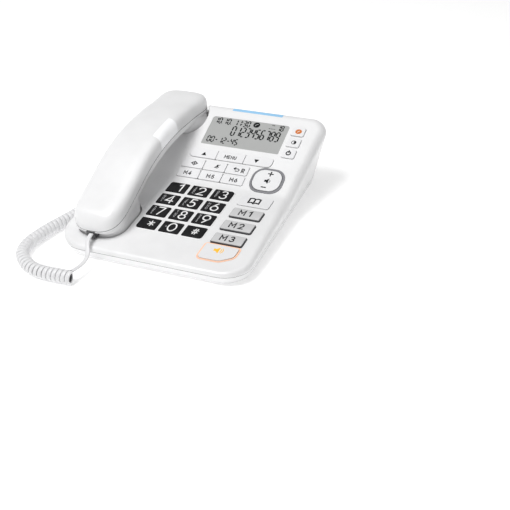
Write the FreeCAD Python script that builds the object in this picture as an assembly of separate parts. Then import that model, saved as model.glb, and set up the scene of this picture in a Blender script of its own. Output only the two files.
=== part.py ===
import FreeCAD, Part
import math
import os

# Corded desk telephone with large keys, a tilted display and a handset lying in a cradle
# on its left side.
# Frame: millimetres, +X to the user's right, +Y to the back, +Z up. The origin is on the
# table surface, at the centre of the footprint of the base and handset together.

V = FreeCAD.Vector
os.makedirs("parts", exist_ok=True)

# ---------------------------------------------------------------- driving dimensions
FRONT_Y = -103.5          # front face of the case at the seam
BACK_Y = 98.0             # back face of the case
SEAM_Z = 9.0              # height of the seam between the two case halves
UNDERSIDE_Z = 1.0         # underside of the lower case; the rubber feet fill the rest
FRONT_LEAN = 3.5          # how far the lower case's front edge tucks in below the seam
FLANK_MID = 80.6          # half width of the case at y = 0, z = 0
FLANK_TAPER = -0.075      # change of half width per mm towards the back
FLANK_LEAN = 0.30         # change of half width per mm of height
CORNER_RADII = (30.0, 22.0, 16.0, 20.0)   # front left, front right, back right, back left
KNEE_Y = 7.5              # where the front and rear panels would meet
KNEE_Z = 26.65
FRONT_TILT = 7.0          # tilt of the keypad panel, degrees
REAR_TILT = 24.5          # tilt of the display panel, degrees
KNEE_RADIUS = 20.0
EDGE_RADIUS_FRONT = 3.9   # rounding of the top edge at the front
EDGE_RADIUS_BACK = 8.5    # and at the back
WALL = 2.4
SEAM_GAP = 0.3

KEY_GAP = 0.35            # gap between a key and its opening
KEY_FOOT = -4.6           # depth of a key's underside below the panel
FLANGE_TOP = -2.8         # depth of the top of the flange that keeps a key in
KEY_EDGE = 0.35           # rounding of a key's top edge
FLANGE = 0.9              # how far a flange reaches past its key

NUMBER_PITCH_X = 22.0
NUMBER_PITCH_S = 18.3
NUMBER_SIZE = (18.4, 14.0)
NUMBER_LEFT = -26.5
NUMBER_BOTTOM = -74.6

# Keys and windows in panel coordinates: x, and the distance up the slope from the knee.
MEMORY_LEFT, MEMORY_RIGHT = 45.4, 74.0
MEMORY_BOTTOM, MEMORY_PITCH, MEMORY_HEIGHT = -76.4, 18.2, 12.7
MEMORY_PROUD = 1.4        # how far the label keys stand above the panel
FUNCTION_LEFT, FUNCTION_WIDTH, FUNCTION_PITCH = -27.4, 21.4, 22.0
ROW_THREE = (4.0, 13.6)
ROW_TWO = (15.3, 25.2)
NAVIGATION = (-25.0, 56.6, 28.0, 38.2)
NAVIGATION_GAP = 0.5
SIDE_LEFT, SIDE_RIGHT, SIDE_HEIGHT = 61.6, 73.8, 9.8
SIDE_BOTTOMS = (41.6, 54.6, 67.6)
PHONEBOOK = (44.6, 74.0, -21.6, -7.4)
DISPLAY = (-19.5, 57.6, 44.6, 78.0)
VOLUME_CENTRE = (58.9, 13.8)
VOLUME_RING = (31.0, 27.4)
VOLUME_KEY = (26.0, 22.4)
PIVOT_RADIUS = 0.8        # pivot pins of the volume rocker
PIVOT_DEPTH = -3.6
PIVOT_REACH = 1.8
HANDSFREE = [(43.6, -97.4), (63.5, -97.4), (73.6, -90.0), (73.6, -78.6), (43.6, -78.6)]
HANDSFREE_RADII = [3.5, 9.0, 6.0, 1.5, 1.5]
RING_WIDTH = 1.3
LIGHT_BAR = (-4.2, 46.2, 87.0, 95.4)

# Places of the fittings in the base: x, y in the frame.
SCREW_PLACES = ((-22.0, -95.0), (66.0, -94.5), (72.5, 7.2), (58.0, 90.0), (-74.0, 14.0))
BOSS_RADIUS = 2.8
SCREW_TIP = 10.2          # height of the screws' tips
BOSS_FOOT = 3.7           # height of the lower ends of the screw bosses
SKIN = 1.0                # depth below the outside at which bosses and wells join the wall
FOOT_RADIUS = 6.0
FOOT_PLACES = ((66.0, -78.0), (-66.0, -78.0), (58.0, 78.0), (-58.0, 78.0))
SPEAKER_PLACE = (30.0, 45.0)
SPEAKER_RADIUS = 18.0
MAGNET_RADIUS = 10.0
LINE_JACK_X = 22.0
LINE_JACK_Z = 15.0
HOOK_PLACE = (-54.5, 66.0)
HOOK_SIZE = (7.0, 10.0)

HANDSET_X = -54.5         # centre line of the handset
CUP_GAP = 1.0             # gap between a cup and its well
WELL_WALL = 2.0
MOUTH_CUP = dict(y=-61.0, half=26.6, width=22.0, top_width=21.4, corner=16.0,
                 top=33.0, top_tilt=22.0, rim=14.2, rim_tilt=7.0)
EAR_CUP = dict(y=75.0, half=20.0, width=28.0, top_width=22.0, corner=19.0,
               top=60.5, top_tilt=0.0, rim=47.0, rim_tilt=12.0)
EAR_NOTCH = (23.8, 55.0, 5.0)   # half width, floor height and corner of the rear notch
SHELL = 2.0               # wall of the handset's shells
SHELL_SEAM = 0.3          # seam gap between the handset's shells
SEAM_TRIM = 0.15          # how much the lower shell's rim is trimmed level below that
LAMP = (-1.0, 30.0)       # the lamp window's two ends along the handset
HANDSET_SCREWS = ((-28.0, 44.4), (38.0, 57.4))   # y and seat height of each

CORD_D = 4.0
COIL_D = 11.6

# The handset's stations from mouth end to ear end: y, height of the seam, height of the
# crown, half width, depth of the lower shell.
HANDSET_STATIONS = (
    (-92.4, 22.6, 25.6, 5.0, 1.4),
    (-91.0, 23.1, 29.8, 11.4, 2.6),
    (-88.6, 24.0, 33.6, 15.8, 4.4),
    (-84.0, 25.7, 37.8, 20.0, 6.2),
    (-77.0, 28.4, 41.2, 22.4, 7.4),
    (-68.0, 32.0, 44.9, 23.2, 7.8),
    (-53.0, 38.6, 51.5, 23.1, 8.0),
    (-35.0, 47.0, 60.5, 23.0, 8.0),
    (-12.0, 55.5, 69.2, 22.8, 8.0),
    (12.0, 60.4, 74.1, 22.6, 7.8),
    (36.0, 62.4, 76.1, 22.5, 7.4),
    (60.0, 62.4, 75.8, 22.6, 7.0),
    (76.0, 62.1, 75.6, 23.3, 6.6),
    (86.0, 61.8, 75.3, 23.3, 5.8),
    (93.0, 61.6, 73.8, 20.6, 4.6),
    (98.0, 61.5, 70.6, 15.2, 3.0),
    (100.4, 61.4, 66.0, 8.0, 1.6),
    (101.2, 61.4, 63.0, 3.5, 0.8),
)

# Control polygon of half a cross-section, as shares of half width and height: the rounder
# one for the crown, the flatter one for the underside.
DOME_DEGREE = 3
CROWN = ((1.0, 0.0), (1.0, 0.28), (0.99, 0.58), (0.86, 0.88), (0.54, 0.995), (0.18, 1.0))
UNDER = ((1.0, 0.0), (1.0, 0.36), (0.99, 0.72), (0.90, 0.96), (0.60, 1.0), (0.20, 1.0))

# Routes of the curly cord: the plain lead from the handset, the centre line of the coil,
# and the short lead into the base.
HANDSET_LEAD = ((-54.5, -93.6, 18.6), (-54.0, -99.4, 18.2), (-51.2, -105.2, 15.4),
                (-48.5, -110.6, 11.4), (-46.9, -116.8, 8.4), (-46.2, -123.8, 7.6),
                (-45.9, -130.2, 8.1), (-45.8, -136.0, 9.8))
COIL_ROUTE = ((-44.5, -138.5, 5.9), (-64.0, -142.5, 5.9), (-80.5, -140.0, 5.9),
              (-96.0, -132.5, 5.9), (-108.5, -120.5, 5.9), (-112.5, -105.5, 5.9),
              (-110.8, -88.5, 5.9), (-107.0, -71.5, 5.9), (-102.5, -56.5, 5.9),
              (-100.0, -45.0, 5.9))
BASE_LEAD = ((-100.0, -45.0, 5.9), (-98.9, -38.0, 6.2), (-97.0, -31.2, 6.9),
             (-93.2, -25.4, 7.7), (-86.7, -22.2, 8.0))
BASE_JACK_Y = -22.0
BASE_JACK_Z = 8.0


# ---------------------------------------------------------------- plane outlines
def rounded_wire(corners, radii, z):
    """Closed wire through the given corners at height z, each corner an arc."""
    count = len(corners)
    starts, mids, ends = [], [], []
    for i in range(count):
        corner = V(corners[i][0], corners[i][1], z)
        before = V(corners[i - 1][0], corners[i - 1][1], z)
        after = V(corners[(i + 1) % count][0], corners[(i + 1) % count][1], z)
        back = (before - corner).normalize()
        ahead = (after - corner).normalize()
        half = back.getAngle(ahead) / 2
        tangent = radii[i] / math.tan(half)
        inward = (back + ahead).normalize()
        starts.append(corner + back * tangent)
        ends.append(corner + ahead * tangent)
        mids.append(corner + inward * (radii[i] / math.sin(half) - radii[i]))
    edges = []
    for i in range(count):
        edges.append(Part.Arc(starts[i], mids[i], ends[i]).toShape())
        edges.append(Part.LineSegment(ends[i], starts[(i + 1) % count]).toShape())
    return Part.Wire(edges)


def rectangle(x0, x1, y0, y1):
    return [(x0, y0), (x1, y0), (x1, y1), (x0, y1)]


def prism(corners, radii, z0, z1):
    """Straight prism between two heights; radii is one number or one per corner."""
    if isinstance(radii, (int, float)):
        radii = [radii] * len(corners)
    return Part.Face(rounded_wire(corners, radii, z0)).extrude(V(0, 0, z1 - z0))


def grown_prism(corners, radii, margin, z0, z1):
    face = Part.Face(rounded_wire(corners, radii, z0)).makeOffset2D(margin)
    return face.extrude(V(0, 0, z1 - z0))


def box(x0, x1, y0, y1, z0, z1):
    return Part.makeBox(x1 - x0, y1 - y0, z1 - z0, V(x0, y0, z0))


def cylinder(radius, x, y, z0, z1):
    return Part.makeCylinder(radius, z1 - z0, V(x, y, z0))


def joined(shapes):
    return shapes[0].fuse(shapes[1:]).removeSplitter()


def on_panel(shape, tilt):
    """Move a shape from panel coordinates (x, slope distance, normal) into the frame."""
    place = FreeCAD.Placement(V(0, KNEE_Y, KNEE_Z), FreeCAD.Rotation(V(1, 0, 0), tilt))
    return shape.transformed(place.toMatrix(), True)


def save(shape, name):
    shape.exportStep("parts/" + name + ".step")


# ---------------------------------------------------------------- case body
def half_width(y, z):
    return FLANK_MID + FLANK_TAPER * y + FLANK_LEAN * z


def case_wire(z, front, back, inset):
    y0 = front + inset
    y1 = back - inset
    front_half = half_width(y0, z) - inset
    back_half = half_width(y1, z) - inset
    corners = [(-front_half, y0), (front_half, y0), (back_half, y1), (-back_half, y1)]
    return rounded_wire(corners, [r - inset for r in CORNER_RADII], z)


def case_loft(z0, z1, front0, front1, inset):
    return Part.makeLoft([case_wire(z0, front0, BACK_Y, inset),
                          case_wire(z1, front1, BACK_Y, inset)], True, True)


def below_panels(drop):
    """Everything under the two panels' surfaces, lowered by drop."""
    side = -150.0
    turn = math.radians(REAR_TILT - FRONT_TILT) / 2
    tangent = KNEE_RADIUS * math.tan(turn)

    def along(tilt, distance):
        angle = math.radians(tilt)
        return V(side, KNEE_Y + distance * math.cos(angle),
                 KNEE_Z - drop + distance * math.sin(angle))

    bisector = math.radians(FRONT_TILT + REAR_TILT) / 2
    rise = KNEE_RADIUS / math.cos(turn) - KNEE_RADIUS
    middle = V(side, KNEE_Y - rise * math.sin(bisector),
               KNEE_Z - drop + rise * math.cos(bisector))
    points = [along(FRONT_TILT, -160), along(FRONT_TILT, -tangent),
              along(REAR_TILT, tangent), along(REAR_TILT, 160)]
    low_back = V(side, points[3].y, -30)
    low_front = V(side, points[0].y, -30)
    wire = Part.Wire([
        Part.LineSegment(points[0], points[1]).toShape(),
        Part.Arc(points[1], middle, points[2]).toShape(),
        Part.LineSegment(points[2], points[3]).toShape(),
        Part.LineSegment(points[3], low_back).toShape(),
        Part.LineSegment(low_back, low_front).toShape(),
        Part.LineSegment(low_front, points[0]).toShape()])
    return Part.Face(wire).extrude(V(-2 * side, 0, 0))


def edge_radius(y, inset):
    """Rounding of the top edge: small at the front, growing towards the back."""
    share = min(1.0, max(0.0, (y + 60.0) / 90.0))
    return EDGE_RADIUS_FRONT + (EDGE_RADIUS_BACK - EDGE_RADIUS_FRONT) * share - inset


def faces_up(face):
    u0, u1, v0, v1 = face.ParameterRange
    return face.normalAt((u0 + u1) / 2, (v0 + v1) / 2).z > 0.85


def upper_body(inset, bottom):
    """The upper case as a solid, with its whole top edge rounded."""
    body = case_loft(bottom, 90.0, FRONT_Y, FRONT_Y, inset)
    body = body.common(below_panels(inset * 1.04)).removeSplitter()
    tops = [face for face in body.Faces if faces_up(face)]
    document = FreeCAD.newDocument()
    source = document.addObject("Part::Feature")
    source.Shape = body
    rounding = document.addObject("Part::Fillet")
    rounding.Base = source
    wanted = []
    for number, edge in enumerate(body.Edges, 1):
        if sum(1 for face in tops if any(edge.isSame(e) for e in face.Edges)) == 1:
            start = edge.valueAt(edge.FirstParameter).y
            end = edge.valueAt(edge.LastParameter).y
            wanted.append((number, edge_radius(start, inset), edge_radius(end, inset)))
    rounding.Edges = wanted
    document.recompute()
    shape = rounding.Shape.copy()
    FreeCAD.closeDocument(document.Name)
    return shape.Solids[0]


# ---------------------------------------------------------------- wells for the cups
def cup_wire(cup, height, half_length, half_width, tilt):
    """Rounded outline of a cup at a height, tilted about X."""
    corners = rectangle(-half_width, half_width, -half_length, half_length)
    corner = cup["corner"] + half_width - cup["width"]
    place = FreeCAD.Placement(V(HANDSET_X, cup["y"], height),
                              FreeCAD.Rotation(V(1, 0, 0), tilt))
    return rounded_wire(corners, [corner] * 4, 0).transformGeometry(place.toMatrix())


def well_prism(cup, margin, drop):
    """Upright prism round a cup, from drop below its tilted rim to above the case."""
    wire = cup_wire(cup, 0.0, cup["half"] + margin, cup["width"] + margin, 0.0)
    upright = Part.Face(wire).extrude(V(0, 0, 120))
    slope = math.tan(math.radians(cup["rim_tilt"]))
    low = cup["rim"] - drop
    y0, y1 = cup["y"] - 60, cup["y"] + 60
    floor = Part.Face(Part.makePolygon([
        V(-150, y0, low - 60 * slope), V(-150, y1, low + 60 * slope),
        V(-150, y1, 130), V(-150, y0, 130), V(-150, y0, low - 60 * slope)]))
    return upright.common(floor.extrude(V(200, 0, 0)))


def rear_notch():
    """Channel through the back wall under the handset's ear end."""
    half, floor, corner = EAR_NOTCH
    outline = rectangle(HANDSET_X - half, HANDSET_X + half, floor, floor + 40)
    notch = prism(outline, corner, 0, 30)
    place = FreeCAD.Placement(V(0, 110, 0), FreeCAD.Rotation(V(1, 0, 0), 90))
    return notch.transformed(place.toMatrix(), True)


# ---------------------------------------------------------------- keys
def number_key_outlines():
    rows = (("1", "2", "3"), ("4", "5", "6"), ("7", "8", "9"), ("star", "0", "hash"))
    width, height = NUMBER_SIZE
    outlines = []
    for row, names in enumerate(rows):
        bottom = NUMBER_BOTTOM + NUMBER_PITCH_S * (3 - row)
        for column, name in enumerate(names):
            left = NUMBER_LEFT + NUMBER_PITCH_X * column
            radii = [0.8, 0.8, 0.8, 0.8]
            outer = {"star": 0, "hash": 1, "3": 2, "1": 3}.get(name)
            if outer is not None:
                radii[outer] = 2.4
            corners = rectangle(left, left + width, bottom, bottom + height)
            outlines.append(("key_" + name, corners, radii))
    return outlines


def centred_rectangle(centre, size, margin=0.0):
    half_x = size[0] / 2 + margin
    half_s = size[1] / 2 + margin
    return rectangle(centre[0] - half_x, centre[0] + half_x,
                     centre[1] - half_s, centre[1] + half_s)


def key_cap(corners, radii, proud):
    """A key's body in panel coordinates, with a softened top edge."""
    cap = prism(corners, radii, KEY_FOOT, proud)
    top = [face for face in cap.Faces if abs(face.CenterOfMass.z - proud) < 1e-6][0]
    return cap.makeFillet(KEY_EDGE, top.Edges)


def key_solid(corners, radii, proud, tilt, flange_x, flange_s):
    """A key cap with the flange that keeps it behind the panel."""
    cap = key_cap(corners, radii, proud)
    xs = [c[0] for c in corners]
    ys = [c[1] for c in corners]
    flange = box(min(xs) - flange_x, max(xs) + flange_x, min(ys) - flange_s,
                 max(ys) + flange_s, KEY_FOOT, FLANGE_TOP)
    return on_panel(joined([cap, flange]), tilt)


def make_number_keys():
    for name, corners, radii in number_key_outlines():
        save(key_solid(corners, radii, 1.0, FRONT_TILT, FLANGE, FLANGE), name)


def make_navigation_keys():
    left, right, bottom, top = NAVIGATION
    width = (right - left - 2 * NAVIGATION_GAP) / 3
    for column, name in enumerate(("key_up", "key_menu", "key_down")):
        x0 = left + column * (width + NAVIGATION_GAP)
        radii = [0.8, 0.8, 0.8, 0.8]
        if column == 0:
            radii = [4.5, 0.8, 0.8, 2.5]
        if column == 2:
            radii = [0.8, 4.5, 2.5, 0.8]
        corners = rectangle(x0, x0 + width, bottom, top)
        save(key_solid(corners, radii, 0.9, REAR_TILT, 0, FLANGE), name)


def make_function_keys():
    rows = ((ROW_TWO, ("key_program", "key_mute", "key_recall")),
            (ROW_THREE, ("key_memory_4", "key_memory_5", "key_memory_6")))
    for (bottom, top), names in rows:
        for column, name in enumerate(names):
            left = FUNCTION_LEFT + column * FUNCTION_PITCH
            corners = rectangle(left, left + FUNCTION_WIDTH, bottom, top)
            save(key_solid(corners, [1.2] * 4, 0.7, REAR_TILT, 0, 0.6), name)


def make_memory_keys():
    for row in range(3):
        bottom = MEMORY_BOTTOM + MEMORY_PITCH * (2 - row)
        corners = rectangle(MEMORY_LEFT, MEMORY_RIGHT, bottom, bottom + MEMORY_HEIGHT)
        solid = key_solid(corners, [1.4] * 4, MEMORY_PROUD, FRONT_TILT, FLANGE, FLANGE)
        save(solid, "key_memory_%d" % (row + 1))


def make_side_keys():
    names = ("key_power", "key_contrast", "key_amplifier")
    for name, bottom in zip(names, SIDE_BOTTOMS):
        corners = rectangle(SIDE_LEFT, SIDE_RIGHT, bottom, bottom + SIDE_HEIGHT)
        save(key_solid(corners, [1.5] * 4, 1.1, REAR_TILT, FLANGE, FLANGE), name)


def make_phonebook_key():
    corners = rectangle(*PHONEBOOK)
    save(key_solid(corners, [2.0] * 4, 0.9, FRONT_TILT, FLANGE, FLANGE), "key_phonebook")


def make_handsfree_key():
    cap = key_cap(HANDSFREE, HANDSFREE_RADII, 1.0)
    flange = grown_prism(HANDSFREE, HANDSFREE_RADII, FLANGE, KEY_FOOT, FLANGE_TOP)
    save(on_panel(joined([cap, flange]), FRONT_TILT), "key_handsfree")
    ring = grown_prism(HANDSFREE, HANDSFREE_RADII, KEY_GAP + RING_WIDTH, -2.3, 0.25)
    ring = ring.cut(grown_prism(HANDSFREE, HANDSFREE_RADII, KEY_GAP, -3.0, 1.0))
    save(on_panel(ring, FRONT_TILT), "handsfree_light_ring")


def make_volume_rocker():
    corners = centred_rectangle(VOLUME_CENTRE, VOLUME_KEY)
    rocker = key_cap(corners, [9.0] * 4, 1.2)
    reach = VOLUME_KEY[0] / 2 + PIVOT_REACH
    pin = Part.makeCylinder(PIVOT_RADIUS, 2 * reach,
                            V(VOLUME_CENTRE[0] - reach, VOLUME_CENTRE[1], PIVOT_DEPTH), V(1, 0, 0))
    save(on_panel(joined([rocker, pin]), REAR_TILT), "volume_rocker")
    ring = prism(centred_rectangle(VOLUME_CENTRE, VOLUME_RING, -0.1), 11.0, -2.3, 0.5)
    ring = ring.cut(prism(centred_rectangle(VOLUME_CENTRE, VOLUME_KEY, 0.5), 9.5, -3, 1))
    save(on_panel(ring, REAR_TILT), "volume_bezel")


def panel_openings():
    """Every opening through the two panels, as one list of cutters in the frame."""
    low, high = -8.0, 8.0
    cutters = []
    for _, corners, radii in number_key_outlines():
        cutters.append(on_panel(grown_prism(corners, radii, KEY_GAP, low, high), FRONT_TILT))
    for row in range(3):
        bottom = MEMORY_BOTTOM + MEMORY_PITCH * row
        corners = rectangle(MEMORY_LEFT, MEMORY_RIGHT, bottom, bottom + MEMORY_HEIGHT)
        cutters.append(on_panel(grown_prism(corners, [1.4] * 4, KEY_GAP, low, high),
                                FRONT_TILT))
    cutters.append(on_panel(grown_prism(rectangle(*PHONEBOOK), [2.0] * 4, KEY_GAP, low, high),
                            FRONT_TILT))
    ring_margin = KEY_GAP + RING_WIDTH + 0.1
    cutters.append(on_panel(grown_prism(HANDSFREE, HANDSFREE_RADII, ring_margin, low, high),
                            FRONT_TILT))
    cutters.append(on_panel(grown_prism(rectangle(*NAVIGATION), [4.5, 4.5, 2.5, 2.5],
                                        KEY_GAP, low, high), REAR_TILT))
    row_right = FUNCTION_LEFT + 2 * FUNCTION_PITCH + FUNCTION_WIDTH
    for bottom, top in (ROW_THREE, ROW_TWO):
        cutters.append(on_panel(grown_prism(rectangle(FUNCTION_LEFT, row_right, bottom, top),
                                            [1.2] * 4, KEY_GAP, low, high), REAR_TILT))
    for bottom in SIDE_BOTTOMS:
        corners = rectangle(SIDE_LEFT, SIDE_RIGHT, bottom, bottom + SIDE_HEIGHT)
        cutters.append(on_panel(grown_prism(corners, [1.5] * 4, KEY_GAP, low, high),
                                REAR_TILT))
    cutters.append(on_panel(prism(centred_rectangle(VOLUME_CENTRE, VOLUME_RING), 11.0,
                                  low, high), REAR_TILT))
    cutters.append(on_panel(grown_prism(rectangle(*DISPLAY), [1.0, 1.0, 2.5, 2.5], 0.1,
                                        low, high), REAR_TILT))
    return cutters


# ---------------------------------------------------------------- case halves
def centred_box(x, y, size_x, size_y, z0, z1):
    return box(x - size_x / 2, x + size_x / 2, y - size_y / 2, y + size_y / 2, z0, z1)


def base_jack_opening():
    return box(-110.0, -78.0, BASE_JACK_Y - 4.6, BASE_JACK_Y + 4.6,
               BASE_JACK_Z - 3.9, BASE_JACK_Z + 3.9)


def make_base_top_cover(outer):
    cover = outer.cut(upper_body(WALL, SEAM_Z - 3.0))
    core = upper_body(SKIN, BOSS_FOOT)
    inside = core.common(case_loft(BOSS_FOOT, 90.0, FRONT_Y, FRONT_Y, WALL))
    for cup in (MOUTH_CUP, EAR_CUP):
        bowl = well_prism(cup, CUP_GAP + WELL_WALL, 0.8 + WELL_WALL)
        cover = cover.fuse(bowl.common(inside))
    for x, y in SCREW_PLACES:
        cover = cover.fuse(cylinder(BOSS_RADIUS, x, y, BOSS_FOOT, 80.0).common(core))
    cover = cover.removeSplitter()
    for cup in (MOUTH_CUP, EAR_CUP):
        cover = cover.cut(well_prism(cup, CUP_GAP, 0.8))
    cover = cover.cut(rear_notch())
    cover = cover.cut([cylinder(1.35, x, y, 0.0, SCREW_TIP + 0.3) for x, y in SCREW_PLACES])
    cover = cover.cut(panel_openings())
    rebate = case_loft(SEAM_Z - 6.0, SEAM_Z + 2.0, FRONT_Y, FRONT_Y, 1.2)
    rebate = rebate.cut(case_loft(SEAM_Z - 7.0, SEAM_Z + 3.0, FRONT_Y, FRONT_Y, 2.9))
    cover = cover.cut(rebate)
    bar_x0, bar_x1, bar_y0, bar_y1 = LIGHT_BAR
    cover = cover.cut(box(bar_x0 - 0.1, bar_x1 + 0.1, bar_y0 - 0.1, bar_y1 + 0.1, 52.9, 90.0))
    cover = cover.cut(base_jack_opening())
    cover = cover.cut(box(LINE_JACK_X - 6.2, LINE_JACK_X + 6.2, 90.0, 105.0,
                          LINE_JACK_Z - 4.4, LINE_JACK_Z + 4.4))
    cover = cover.cut(centred_box(*HOOK_PLACE, HOOK_SIZE[0] + 0.8, HOOK_SIZE[1] + 0.8,
                                  30.0, 60.0))
    save(max(cover.Solids, key=lambda solid: solid.Volume), "base_top_cover")


def make_light_bar(outer):
    x0, x1, y0, y1 = LIGHT_BAR
    save(outer.common(box(x0, x1, y0, y1, 53.0, 90.0)), "ring_light_bar")


def make_base_bottom_cover():
    front_low = FRONT_Y + FRONT_LEAN
    outer = Part.makeLoft([case_wire(UNDERSIDE_Z, front_low, BACK_Y - 0.5, 0),
                           case_wire(SEAM_Z, FRONT_Y, BACK_Y, 0)], True, True)
    low_edges = [e for e in outer.Edges
                 if all(abs(v.Point.z - UNDERSIDE_Z) < 1e-6 for v in e.Vertexes)]
    outer = outer.makeFillet(1.5, low_edges)
    lip = case_loft(SEAM_Z - 1.0, SEAM_Z + 1.6, FRONT_Y, FRONT_Y, 1.5)
    inner = Part.makeLoft([case_wire(UNDERSIDE_Z + WALL, front_low - 0.8, BACK_Y - 0.4, WALL),
                           case_wire(SEAM_Z + 3.0, FRONT_Y, BACK_Y, WALL)], True, True)
    cover = outer.fuse(lip).cut(inner)
    cutters = [base_jack_opening()]
    for x, y in FOOT_PLACES:
        cutters.append(cylinder(FOOT_RADIUS + 0.2, x, y, 0.0, UNDERSIDE_Z + 0.7))
    for x, y in SCREW_PLACES:
        cutters.append(cylinder(3.1, x, y, 0.0, UNDERSIDE_Z + 1.5))
        cutters.append(cylinder(1.7, x, y, 0.0, 6.0))
    for ring in (0.0, 6.0, 12.0):
        count = 1 if ring == 0 else int(ring)
        for i in range(count):
            angle = 2 * math.pi * i / count
            cutters.append(cylinder(1.3, SPEAKER_PLACE[0] + ring * math.cos(angle),
                                    SPEAKER_PLACE[1] + ring * math.sin(angle), 0.0, 6.0))
    cover = cover.cut(cutters)
    save(max(cover.Solids, key=lambda solid: solid.Volume), "base_bottom_cover")


def make_feet_and_screws():
    feet = [cylinder(FOOT_RADIUS, x, y, 0.0, UNDERSIDE_Z + 0.6) for x, y in FOOT_PLACES]
    save(Part.makeCompound(feet), "rubber_feet")
    screws = []
    for x, y in SCREW_PLACES:
        screw = joined([cylinder(2.8, x, y, UNDERSIDE_Z + 0.1, UNDERSIDE_Z + 1.4),
                        cylinder(1.25, x, y, UNDERSIDE_Z + 1.0, SCREW_TIP)])
        slots = [centred_box(x, y, 3.2, 0.7, 0.0, UNDERSIDE_Z + 0.8),
                 centred_box(x, y, 0.7, 3.2, 0.0, UNDERSIDE_Z + 0.8)]
        screws.append(screw.cut(slots))
    save(Part.makeCompound(screws), "case_screws")


# ---------------------------------------------------------------- inside the base
def make_base_internals():
    window = prism(rectangle(*DISPLAY), [0.9, 0.9, 2.4, 2.4], -2.4, -0.15)
    save(on_panel(window, REAR_TILT), "display_window")
    x0, x1, s0, s1 = DISPLAY
    module = prism(rectangle(x0 - 1.5, x1 + 1.5, s0 - 1.5, s1 + 1.5), 0.5, -7.2, -2.6)
    save(on_panel(module, REAR_TILT), "display_module")
    front_mat = prism(rectangle(-27.4, 75.6, -98.0, -5.0), 2.0, -7.4, -5.8)
    rear_mat = prism(rectangle(-27.4, 75.6, 3.0, 40.0), 2.0, -7.4, -5.8)
    save(Part.makeCompound([on_panel(front_mat, FRONT_TILT), on_panel(rear_mat, REAR_TILT)]),
         "key_mats")
    save(on_panel(prism(rectangle(-27.4, 75.6, -98.0, -5.0), 1.0, -9.1, -7.5), FRONT_TILT),
         "keypad_circuit_board")
    board = prism(rectangle(-22.0, 74.6, 3.0, 82.0), 1.0, -9.1, -7.5)
    save(on_panel(board, REAR_TILT), "main_circuit_board")
    x, y = SPEAKER_PLACE
    magnet = cylinder(MAGNET_RADIUS, x, y, 8.4, 14.0)
    save(joined([cylinder(SPEAKER_RADIUS, x, y, 3.6, 8.4), magnet]), "loudspeaker")
    jack = box(LINE_JACK_X - 8.0, LINE_JACK_X + 8.0, 79.0, 95.4, LINE_JACK_Z - 6.5,
               LINE_JACK_Z + 6.5)
    jack = jack.cut(box(LINE_JACK_X - 5.0, LINE_JACK_X + 5.0, 83.0, 100.0,
                        LINE_JACK_Z - 3.4, LINE_JACK_Z + 3.4))
    save(jack, "line_jack")
    jack = box(-80.1, -65.0, BASE_JACK_Y - 5.6, BASE_JACK_Y + 5.6, 3.6, 13.2)
    jack = jack.cut(box(-90.0, -69.0, BASE_JACK_Y - 4.0, BASE_JACK_Y + 4.0,
                        BASE_JACK_Z - 3.3, BASE_JACK_Z + 3.3))
    save(jack, "handset_cord_jack")
    x, y = HOOK_PLACE
    rim = EAR_CUP["rim"] + (y - EAR_CUP["y"] - HOOK_SIZE[1] / 2) * \
        math.tan(math.radians(EAR_CUP["rim_tilt"]))
    plunger = joined([centred_box(x, y, HOOK_SIZE[0], HOOK_SIZE[1], 33.0, rim - 0.3),
                      centred_box(x, y, HOOK_SIZE[0] + 3, HOOK_SIZE[1] + 3, 33.0, 34.0)])
    save(plunger, "hook_plunger")
    save(centred_box(x, y, 12.0, 16.0, 22.0, 32.6), "hook_switch")


# ---------------------------------------------------------------- handset
def dome_edge(y, low, high, half, quarter):
    """One cross-section curve: from one side of the handset over its crown to the other."""
    left = [(-x, rise) for x, rise in quarter]
    right = [(x, rise) for x, rise in reversed(quarter)]
    poles = [V(HANDSET_X + x * half, y, low + rise * (high - low)) for x, rise in left + right]
    curve = Part.BSplineCurve()
    spans = len(poles) - DOME_DEGREE
    curve.buildFromPolesMultsKnots(poles, [DOME_DEGREE + 1] + [1] * (spans - 1)
                                   + [DOME_DEGREE + 1], [float(k) for k in range(spans + 1)],
                                   False, DOME_DEGREE)
    return curve.toShape(), poles[0], poles[-1]


def dome_loft(levels, quarter):
    """Loft of domes; levels are (y, base height, crown height, half width)."""
    wires = []
    for y, low, high, half in levels:
        dome, first, last = dome_edge(y, low, high, half, quarter)
        wires.append(Part.Wire([dome, Part.LineSegment(last, first).toShape()]))
    return Part.makeLoft(wires, True, False)


def above_seam(drop):
    """Everything above the seam line lowered by drop, across the handset."""
    side = HANDSET_X - 60
    points = [V(side, y, seam - drop) for y, seam, _, _, _ in HANDSET_STATIONS]
    first = V(side, points[0].y - 20, points[0].z)
    last = V(side, points[-1].y + 20, points[-1].z)
    curve = Part.BSplineCurve()
    curve.interpolate(points)
    top = 140
    wire = Part.Wire([Part.LineSegment(first, points[0]).toShape(), curve.toShape(),
                      Part.LineSegment(points[-1], last).toShape(),
                      Part.LineSegment(last, V(side, last.y, top)).toShape(),
                      Part.LineSegment(V(side, last.y, top), V(side, first.y, top)).toShape(),
                      Part.LineSegment(V(side, first.y, top), first).toShape()])
    return Part.Face(wire).extrude(V(120, 0, 0))


def cup_solid(cup, shrink, rim_raise):
    top = cup_wire(cup, cup["top"], cup["half"] - shrink,
                   cup["top_width"] - shrink, cup["top_tilt"])
    rim = cup_wire(cup, cup["rim"] + rim_raise, cup["half"] - shrink,
                   cup["width"] - shrink, cup["rim_tilt"])
    return Part.makeLoft([rim, top], True, True)


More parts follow.
